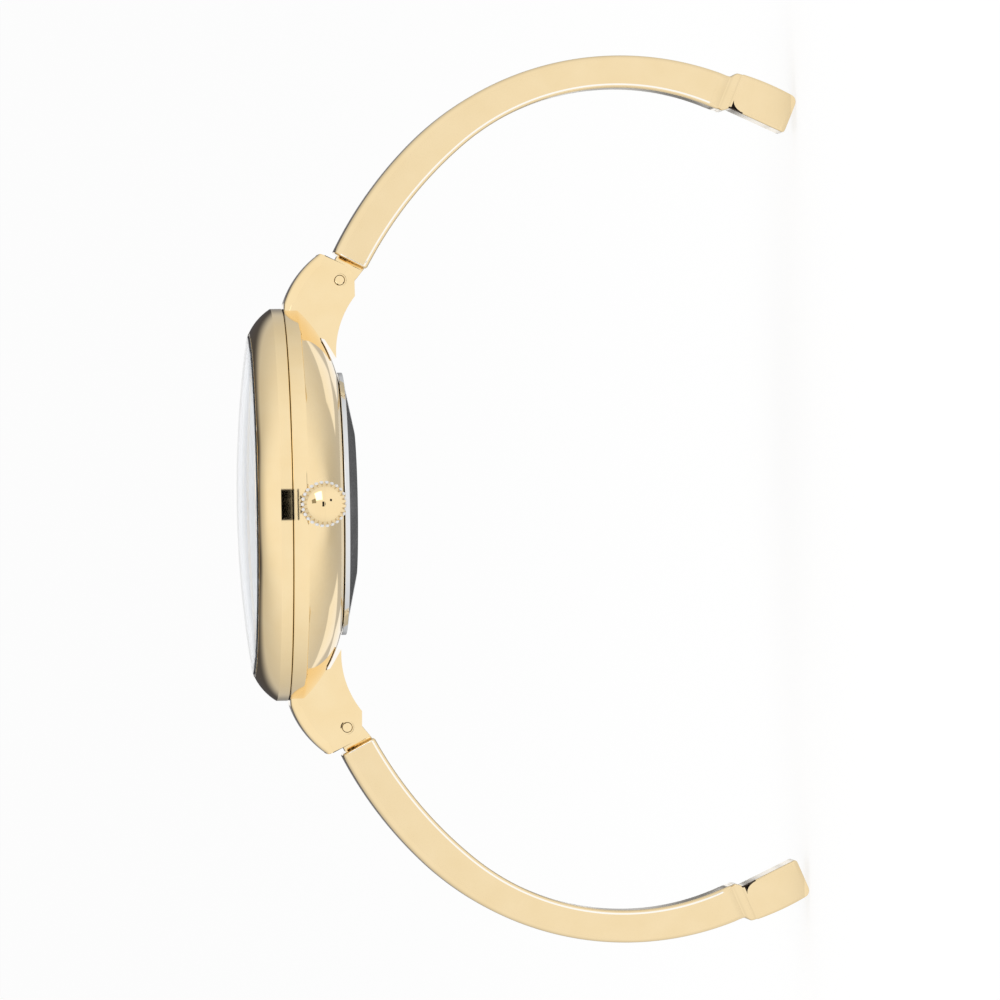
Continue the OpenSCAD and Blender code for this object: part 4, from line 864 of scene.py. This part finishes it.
def growKnurl(c):
    tree, given, result = newTree("knurlRidges", {"Teeth": "Int", "Circle Radius": "Float",
                                                  "Ridge Radius": "Float", "Ridge Length": "Float",
                                                  "Run Out": "Float"})
    circle = addNode(tree, "GeometryNodeMeshCircle", links={"Vertices": given["Teeth"],
                                                            "Radius": given["Circle Radius"]})
    ridge = addNode(tree, "GeometryNodeMeshCone", {"Vertices": c["ridgeSides"]},
                    {"Radius Top": given["Ridge Radius"], "Radius Bottom": given["Ridge Radius"],
                     "Depth": given["Ridge Length"]})
    point = addNode(tree, "GeometryNodeMeshCone",
                    {"Vertices": c["ridgeSides"], "Radius Top": c["pointRadius"] * mm},
                    {"Radius Bottom": given["Ridge Radius"], "Depth": given["Run Out"]})
    lift = addNode(tree, "ShaderNodeCombineXYZ", links={"Z": given["Ridge Length"]})
    lifted = addNode(tree, "GeometryNodeTransform", links={"Geometry": point, "Translation": lift})
    whole = addNode(tree, "GeometryNodeJoinGeometry", links={"Geometry": ridge})
    joinLinks(tree, whole, {"Geometry": lifted})
    ridges = addNode(tree, "GeometryNodeInstanceOnPoints", links={"Points": circle, "Instance": whole})
    endTree(tree, ridges, gold, result)
    knurl = runTree("crownKnurl", tree, {"Teeth": c["teeth"],
                                         "Circle Radius": (c["radius"] - c["ridge"]) * mm,
                                         "Ridge Radius": c["ridge"] * mm, "Run Out": c["chamfer"] * mm,
                                         "Ridge Length": (c["length"] - c["chamfer"] - c["knurlShort"]) * mm})
    place = Matrix.Translation(Vector((c["start"] + c["knurlStart"], 0, c["height"])) * mm)
    knurl.data.transform(place @ Matrix.Rotation(math.radians(90), 4, "Y"))
    finishPiece(knurl, gold, "crown_and_stem", ["crown"])


def makeCrown(c):
    root, inside = c["radius"] - c["valley"], c["length"] - c["capWall"]
    profile = [(c["recess"], 0), (root - 0.05, 0, 0.1), (root, 0.12, 0.05),
               (root, c["length"] - c["chamfer"], 0.05),
               (c["domeRadius"] + 0.02, c["length"] - 0.03, 0.02)]
    profile += domePoints(c["domeRadius"], c["length"], c["domeRise"], 24)
    profile += [(0, inside), (c["bore"], inside), (c["bore"], c["recessDepth"]),
                (c["recess"], c["recessDepth"])]
    core = alongStem(lathe(roundCorners(profile), 96), c["start"], c["height"])
    finishPiece(toObject("crownCore", core), gold, "crown_and_stem", ["crown"])
    growKnurl(c)


makeCrown(crownSize)
print("crown made")

# Dial furniture: faceted hour markers and hands
markerSize = {"count": 12, "length": 2.2, "radius": 0.25, "outer": 14.0, "dialTop": 6.4}


def growMarkers(m):
    tree, given, result = newTree("hourMarkers", {"Count": "Int", "Circle Radius": "Float",
                                                  "Marker Radius": "Float", "Marker Length": "Float"})
    circle = addNode(tree, "GeometryNodeMeshCircle", links={"Vertices": given["Count"],
                                                            "Radius": given["Circle Radius"]})
    bar = addNode(tree, "GeometryNodeMeshCylinder", {"Vertices": 6},
                  {"Radius": given["Marker Radius"], "Depth": given["Marker Length"]})
    place = addNode(tree, "GeometryNodeInputPosition")
    turn = addNode(tree, "FunctionNodeAlignRotationToVector", {"axis": "Z"}, {"Vector": place})
    bars = addNode(tree, "GeometryNodeInstanceOnPoints",
                   links={"Points": circle, "Instance": bar, "Rotation": turn})
    endTree(tree, bars, handGold, result)
    markers = runTree("hourMarkerBars", tree, {"Count": m["count"], "Marker Length": m["length"] * mm,
                                               "Circle Radius": (m["outer"] - m["length"] / 2) * mm,
                                               "Marker Radius": m["radius"] * mm})
    markers.data.transform(Matrix.Translation((0, 0, m["dialTop"] * mm)))
    finishPiece(markers, handGold, "case", ["hour_markers"], 20)


handSizes = {
    "hour": {"z": 6.75, "length": 8.4, "root": 1.1, "tip": 0.3, "tail": 0, "hub": 1.15, "bore": 0.76,
             "body": "hours"},
    "minute": {"z": 7.15, "length": 12.4, "root": 0.9, "tip": 0.25, "tail": 0, "hub": 0.8, "bore": 0.41,
               "body": "minutes"},
    "second": {"z": 7.52, "length": 13.0, "root": 0.26, "tip": 0.12, "tail": 3, "hub": 0.58, "bore": 0.19,
               "body": "seconds"},
}
handStamp = {"thickness": 0.16, "fold": 0.09}


# A hand is folded along its middle, so each half catches the light on its own
def makeHand(name, h):
    low, high = h["z"], h["z"] + handStamp["thickness"]
    side = high - handStamp["fold"]
    start = -h["tail"] if h["tail"] else h["bore"] + 0.1
    ends = [(start, h["root"] / 2), (h["length"], h["tip"] / 2)]
    points = []
    for y, half in ends:
        points += [(-half, y, low), (half, y, low), (half, y, side), (0, y, high), (-half, y, side)]
    faces = [[0, 1, 2, 3, 4], [5, 6, 7, 8, 9]] + [[i, (i + 1) % 5, (i + 1) % 5 + 5, i + 5] for i in range(5)]
    hand = toObject(name + "Hand", fromPoints(points, faces))
    disc = [(h["bore"], low), (h["hub"], low), (h["hub"], high, 0.05), (h["bore"], high)]
    hub = lathe(roundCorners(disc), 48)
    combine(hand, toObject("hub", hub), "UNION")
    bore = lathe([(0, low - 0.1), (h["bore"], low - 0.1), (h["bore"], high + 0.1), (0, high + 0.1)], 48)
    combine(hand, toObject("cutter", bore), "DIFFERENCE")
    finishPiece(hand, handGold, h["body"], [name + "_hand"], 12)


growMarkers(markerSize)
for handName, size in handSizes.items():
    makeHand(handName, size)
print("dial furniture made")

# Coil: turns of wire wound over the core. Real wire is about 0.02 mm thick, in thousands of turns, and is
# drawn six times as thick so that the turns show
coilSize = {"turns": 52, "radius": 0.78, "wire": 0.065, "length": 7.0, "y": 6.9, "z": 3.8, "wireSides": 8,
            "turnSteps": 20}


def growCoil(c):
    tree, given, result = newTree("wireTurns", {"Turns": "Float", "Radius": "Float", "Length": "Float",
                                                "Wire Radius": "Float"})
    spiral = addNode(tree, "GeometryNodeCurveSpiral", {"Resolution": c["turnSteps"]},
                     {"Rotations": given["Turns"], "Start Radius": given["Radius"],
                      "End Radius": given["Radius"], "Height": given["Length"]})
    ring = addNode(tree, "GeometryNodeCurvePrimitiveCircle", {"Resolution": c["wireSides"]},
                   {"Radius": given["Wire Radius"]})
    wire = addNode(tree, "GeometryNodeCurveToMesh", {"Fill Caps": True},
                   {"Curve": spiral, "Profile Curve": ring})
    endTree(tree, wire, copperWire, result)
    coil = runTree("coilWire", tree, {"Turns": float(c["turns"]), "Radius": c["radius"] * mm,
                                      "Length": c["length"] * mm, "Wire Radius": c["wire"] * mm})
    place = Matrix.Translation(Vector((-c["length"] / 2, c["y"], c["z"])) * mm)
    coil.data.transform(place @ Matrix.Rotation(math.radians(90), 4, "Y"))
    finishPiece(coil, copperWire, "case", ["coil_winding"], 60)


growCoil(coilSize)
print("coil wound")

# Finishes of the CAD nodes that keep their own shape
nodeFinish = {
    "mouldedNylon": ["crystal_gasket"],
    "nitrileRubber": ["caseback_gasket", "crown_gasket"],
    "ringLacquer": ["dial_ring"],
    "mouldedAcetal": ["movement_ring"],
    "solderMask": ["circuit_board"],
    "sinteredMagnet": ["rotor_magnet"],
    "nickelPlate": ["main_plate"],
    "machinedBrass": ["train_bridge", "battery_strap", "intermediate_wheel", "second_wheel", "third_wheel",
                      "centre_wheel", "minute_wheel", "hour_wheel"],
    "machinedSteel": ["bridge_screws", "coil_screws", "stator", "coil_core", "quartz_can", "stem",
                      "sliding_pinion", "setting_lever", "rotor_pinion", "battery"],
}


def dressNode(name, material):
    mesh = nodes[name].data
    mesh.materials.clear()
    mesh.materials.append(material)


for finish, names in nodeFinish.items():
    for name in names:
        dressNode(name, (machined | plain)[finish])
dressNode("dial", dialLacquer)
dressNode("crown_tube", gold)
print("nodes dressed")

# Studio: white floor and world, a soft lamp above, and flags that only reflections see
studio = {"floorSize": 14.0, "floorKeepsShadow": 0.2, "worldLevel": 0.88, "lampPower": 0.8, "lampSize": 0.5,
          "lampPlace": (0.25, -0.1, 0.6), "centre": (0, 0, -13)}
white = hexToLinear("#FFFFFF")


# One where a ray comes from the camera, from a mirror or through glass, so that these see plain white
def whiteForView(tree):
    path = addNode(tree, "ShaderNodeLightPath").outputs
    first = addNode(tree, "ShaderNodeMath", {"operation": "MAXIMUM"},
                    {0: path["Is Camera Ray"], 1: path["Is Glossy Ray"]})
    return addNode(tree, "ShaderNodeMath", {"operation": "MAXIMUM"},
                   {0: first, 1: path["Is Transmission Ray"]})


def makeWorld(s):
    world = bpy.data.worlds.new("studioWorld")
    bpy.context.scene.world = world
    world.use_nodes = True
    tree = world.node_tree
    tree.nodes.clear()
    lit, seen = (addNode(tree, "ShaderNodeBackground", {"Color": white, "Strength": level})
                 for level in (s["worldLevel"], 1.0))
    mixed = addNode(tree, "ShaderNodeMixShader", links={0: whiteForView(tree), 1: lit, 2: seen})
    addNode(tree, "ShaderNodeOutputWorld", links={"Surface": mixed})


def makeFloor(s):
    low = cadBox[0][2] / mm
    size = s["floorSize"] / 2 / mm
    corners = [(x * size, y * size, low) for x, y in ((-1, -1), (1, -1), (1, 1), (-1, 1))]
    floor = toObject("floor", fromPoints(corners, [range(4)]))
    # matt white table top: mostly a plain white of its own, with a share that takes the shadow
    material, tree = emptyMaterial("whiteTable")
    matt = addNode(tree, "ShaderNodeBsdfDiffuse", {"Color": white})
    glow = addNode(tree, "ShaderNodeEmission", {"Color": white, "Strength": 1.0})
    mixed = addNode(tree, "ShaderNodeMixShader", {0: s["floorKeepsShadow"]}, {1: glow, 2: matt})
    addNode(tree, "ShaderNodeOutputMaterial", links={"Surface": mixed})
    floor.data.materials.append(material)


# A flag is a soft-edged patch of a sphere round the watch, laid on the floor where it would dip below it.
# Only reflections see it. Angles are degrees round from the crown and up from the floor; sizes are half
# widths. Gaps are holes in a flag, at angles from its middle, where the watch mirrors the white studio
crownFace = (crownSize["start"] + crownSize["length"] + crownSize["domeRise"], 0, crownSize["height"])
bandSide = (caseSize["radius"], 0, 7)
# Painted reflections: dark cards behind paint the dark tones in the gold, the three camera cards paint a dark
# patch close to the band, the glowing sheet paints the crown's white highlight, and a grey card above the
# crown and a black one below it paint dark reflections on it
flags = {
    "rearWide": {"side": 180, "up": 0, "halfSide": 140, "halfUp": 89, "distance": 620, "colour": "#000000",
                 "cover": 0.45, "soft": (1.0, 0.3),
                 "gaps": [{"side": 0, "up": 8, "halfSide": 4.6, "halfUp": 16, "soft": 1.6}]
                 + [{"side": side, "up": -27, "halfSide": 10, "halfUp": 9, "soft": 2} for side in (-31, 31)]
                 + [{"side": side, "up": -13, "halfSide": 7, "halfUp": 6, "soft": 1.5}
                    for side in (-13, 13)]},
    "rearCore": {"side": 180, "up": 31, "halfSide": 34, "halfUp": 37, "distance": 600, "colour": "#403E42",
                 "cover": 0.95, "soft": (0.5, 0.3),
                 "gaps": [{"side": 0, "up": -23, "halfSide": 4.6, "halfUp": 16, "soft": 1.6}]},
    "lowRear": {"side": 180, "up": -11, "halfSide": 7.5, "halfUp": 6, "distance": 590, "colour": "#3A3A3C",
                "cover": 0.9, "soft": (0.2, 0.3)},
    "crownHighlightSheet": {"side": 43, "up": 25, "halfSide": 25, "halfUp": 17, "distance": 22, "colour": "#FFFFFF",
               "cover": 1.0, "soft": (0.25, 0.25), "strength": 2.2, "centre": crownFace},
    "crownGreyReflection": {"side": 20, "up": 50, "halfSide": 15, "halfUp": 11, "distance": 24, "colour": "#8F8874",
              "cover": 0.9, "soft": (0.1, 0.1), "centre": crownFace},
    "camera": {"side": 0, "up": 0.9, "halfSide": 11.5, "halfUp": 4.5, "distance": 42, "colour": "#050505",
               "cover": 1.0, "soft": (0.1, 0.1), "centre": bandSide},
    "cameraLow": {"side": 0, "up": -5.3, "halfSide": 11.5, "halfUp": 0.4, "distance": 42,
                  "colour": "#050505", "cover": 1.0, "soft": (0.1, 0.1), "centre": bandSide},
    "cameraFoot": {"side": 0, "up": -7.5, "halfSide": 6.5, "halfUp": 1.3, "distance": 42,
                   "colour": "#050505", "cover": 1.0, "soft": (0.1, 0.1), "centre": bandSide},
    "crownDarkReflection": {"side": 20, "up": -30, "halfSide": 7.5, "halfUp": 6, "distance": 40, "colour": "#0A0A0A",
              "cover": 1.0, "soft": (0.4, 0.4), "centre": crownFace},
}


# One where the point is inside the rectangle, falling smoothly to nought over its soft rim
def softPatch(tree, parts, centre, half, soft):
    covers = []
    for axis, c, h, s in zip("XY", centre, half, soft):
        away = addNode(tree, "ShaderNodeMath", {"operation": "SUBTRACT", 1: c}, {0: parts.outputs[axis]})
        far = addNode(tree, "ShaderNodeMath", {"operation": "ABSOLUTE"}, {0: away})
        covers.append(addNode(tree, "ShaderNodeMapRange", {"interpolation_type": "SMOOTHSTEP", "From Min": h,
                                                           "From Max": h - s, "To Min": 0, "To Max": 1},
                              {"Value": far}))
    return addNode(tree, "ShaderNodeMath", {"operation": "MULTIPLY"}, {0: covers[0], 1: covers[1]})


# Painted reflection: a flat dark or coloured patch, or a glowing sheet, that only mirrors see, with a soft rim
def flagMaterial(name, f):
    material, tree = emptyMaterial(name)
    place = addNode(tree, "ShaderNodeTexCoord").outputs["UV"]
    parts = addNode(tree, "ShaderNodeSeparateXYZ", links={"Vector": place})
    half = (f["halfSide"], f["halfUp"])
    patch = softPatch(tree, parts, (0, 0), half, (half[0] * f["soft"][0], half[1] * f["soft"][1]))
    cover = addNode(tree, "ShaderNodeMath", {"operation": "MULTIPLY", 1: f["cover"]}, {0: patch})
    for gap in f.get("gaps", ()):
        span = (gap["halfSide"], gap["halfUp"])
        hole = softPatch(tree, parts, (gap["side"], gap["up"]), span, (gap["soft"], gap["soft"]))
        left = addNode(tree, "ShaderNodeMath", {"operation": "SUBTRACT", 0: 1.0}, {1: hole})
        cover = addNode(tree, "ShaderNodeMath", {"operation": "MULTIPLY"}, {0: cover, 1: left})
    reflectionPatch = addNode(tree, "ShaderNodeEmission", {"Color": hexToLinear(f["colour"]),
                                                "Strength": f.get("strength", 1.0)})
    clear = addNode(tree, "ShaderNodeBsdfTransparent")
    mixed = addNode(tree, "ShaderNodeMixShader", links={0: cover, 1: clear, 2: reflectionPatch})
    addNode(tree, "ShaderNodeOutputMaterial", links={"Surface": mixed})
    return material


def makeFlag(name, f, s):
    steps = 40
    centre = Vector(f.get("centre", s["centre"]))
    floorDrop = centre.z - cadBox[0][2] / mm - 0.5
    points, faces, spots = [], [], []
    for i in range(steps + 1):
        for j in range(steps + 1):
            side, up = f["halfSide"] * (2 * i / steps - 1), f["halfUp"] * (2 * j / steps - 1)
            spots.append((side, up))
            turn, rise = math.radians(f["side"] + side), math.radians(f["up"] + up)
            reach = f["distance"]
            if rise < 0:
                reach = min(reach, floorDrop / math.sin(-rise))
            way = Vector((math.cos(rise) * math.cos(turn), math.cos(rise) * math.sin(turn), math.sin(rise)))
            points.append(centre + way * reach)
    for i in range(steps):
        for j in range(steps):
            a = i * (steps + 1) + j
            faces.append([a, a + 1, a + steps + 2, a + steps + 1])
    flag = toObject(name + "Flag", fromPoints(points, faces))
    layer = flag.data.uv_layers.new(name="UVMap")
    for corner in flag.data.loops:
        layer.data[corner.index].uv = spots[corner.vertex_index]
    flag.data.materials.append(flagMaterial(name + "PaintedReflection", f))
    flag.visible_camera = flag.visible_diffuse = flag.visible_shadow = flag.visible_transmission = False


def makeLamp(s):
    lamp = bpy.data.lights.new("softbox", "AREA")
    lamp.shape = "DISK"
    lamp.size = s["lampSize"]
    lamp.energy = s["lampPower"]
    softbox = bpy.data.objects.new("softbox", lamp)
    bpy.context.scene.collection.objects.link(softbox)
    softbox.visible_glossy = False
    softbox.location = s["lampPlace"]
    aim = Vector(s["centre"]) * mm - softbox.location
    softbox.rotation_euler = aim.to_track_quat("-Z", "Y").to_euler()


makeWorld(studio)
makeFloor(studio)
for flagName, flag in flags.items():
    makeFlag(flagName, flag, studio)
makeLamp(studio)
print("studio lit")

# Camera: looks along -X from 3 degrees towards the dial's side, with 12 o'clock at the top of the picture
cameraSetup = {"distance": 1150, "yaw": 3.413, "pitch": -0.03, "roll": -0.979, "aim": (0, 0.101, -13.442),
               "lens": 450.25, "sensor": 36, "clipStart": 0.01}


def makeCamera(c):
    yaw, pitch, roll = (math.radians(c[k]) for k in ("yaw", "pitch", "roll"))
    back = Vector((math.cos(pitch) * math.cos(yaw), math.sin(pitch), math.cos(pitch) * math.sin(yaw)))
    right = Vector((0, 1, 0)).cross(back).normalized()
    up = back.cross(right)
    across = right * math.cos(roll) + up * math.sin(roll)
    upward = up * math.cos(roll) - right * math.sin(roll)
    data = bpy.data.cameras.new("camera")
    data.sensor_width = c["sensor"]
    data.lens = c["lens"]
    data.clip_start = c["clipStart"]
    camera = bpy.data.objects.new("camera", data)
    bpy.context.scene.collection.objects.link(camera)
    spot = (Vector(c["aim"]) + back * c["distance"]) * mm
    camera.matrix_world = Matrix.Translation(spot) @ Matrix((across, upward, back)).transposed().to_4x4()
    bpy.context.scene.camera = camera


makeCamera(cameraSetup)
bpy.context.scene.view_settings.view_transform = "Standard"
print("camera set")
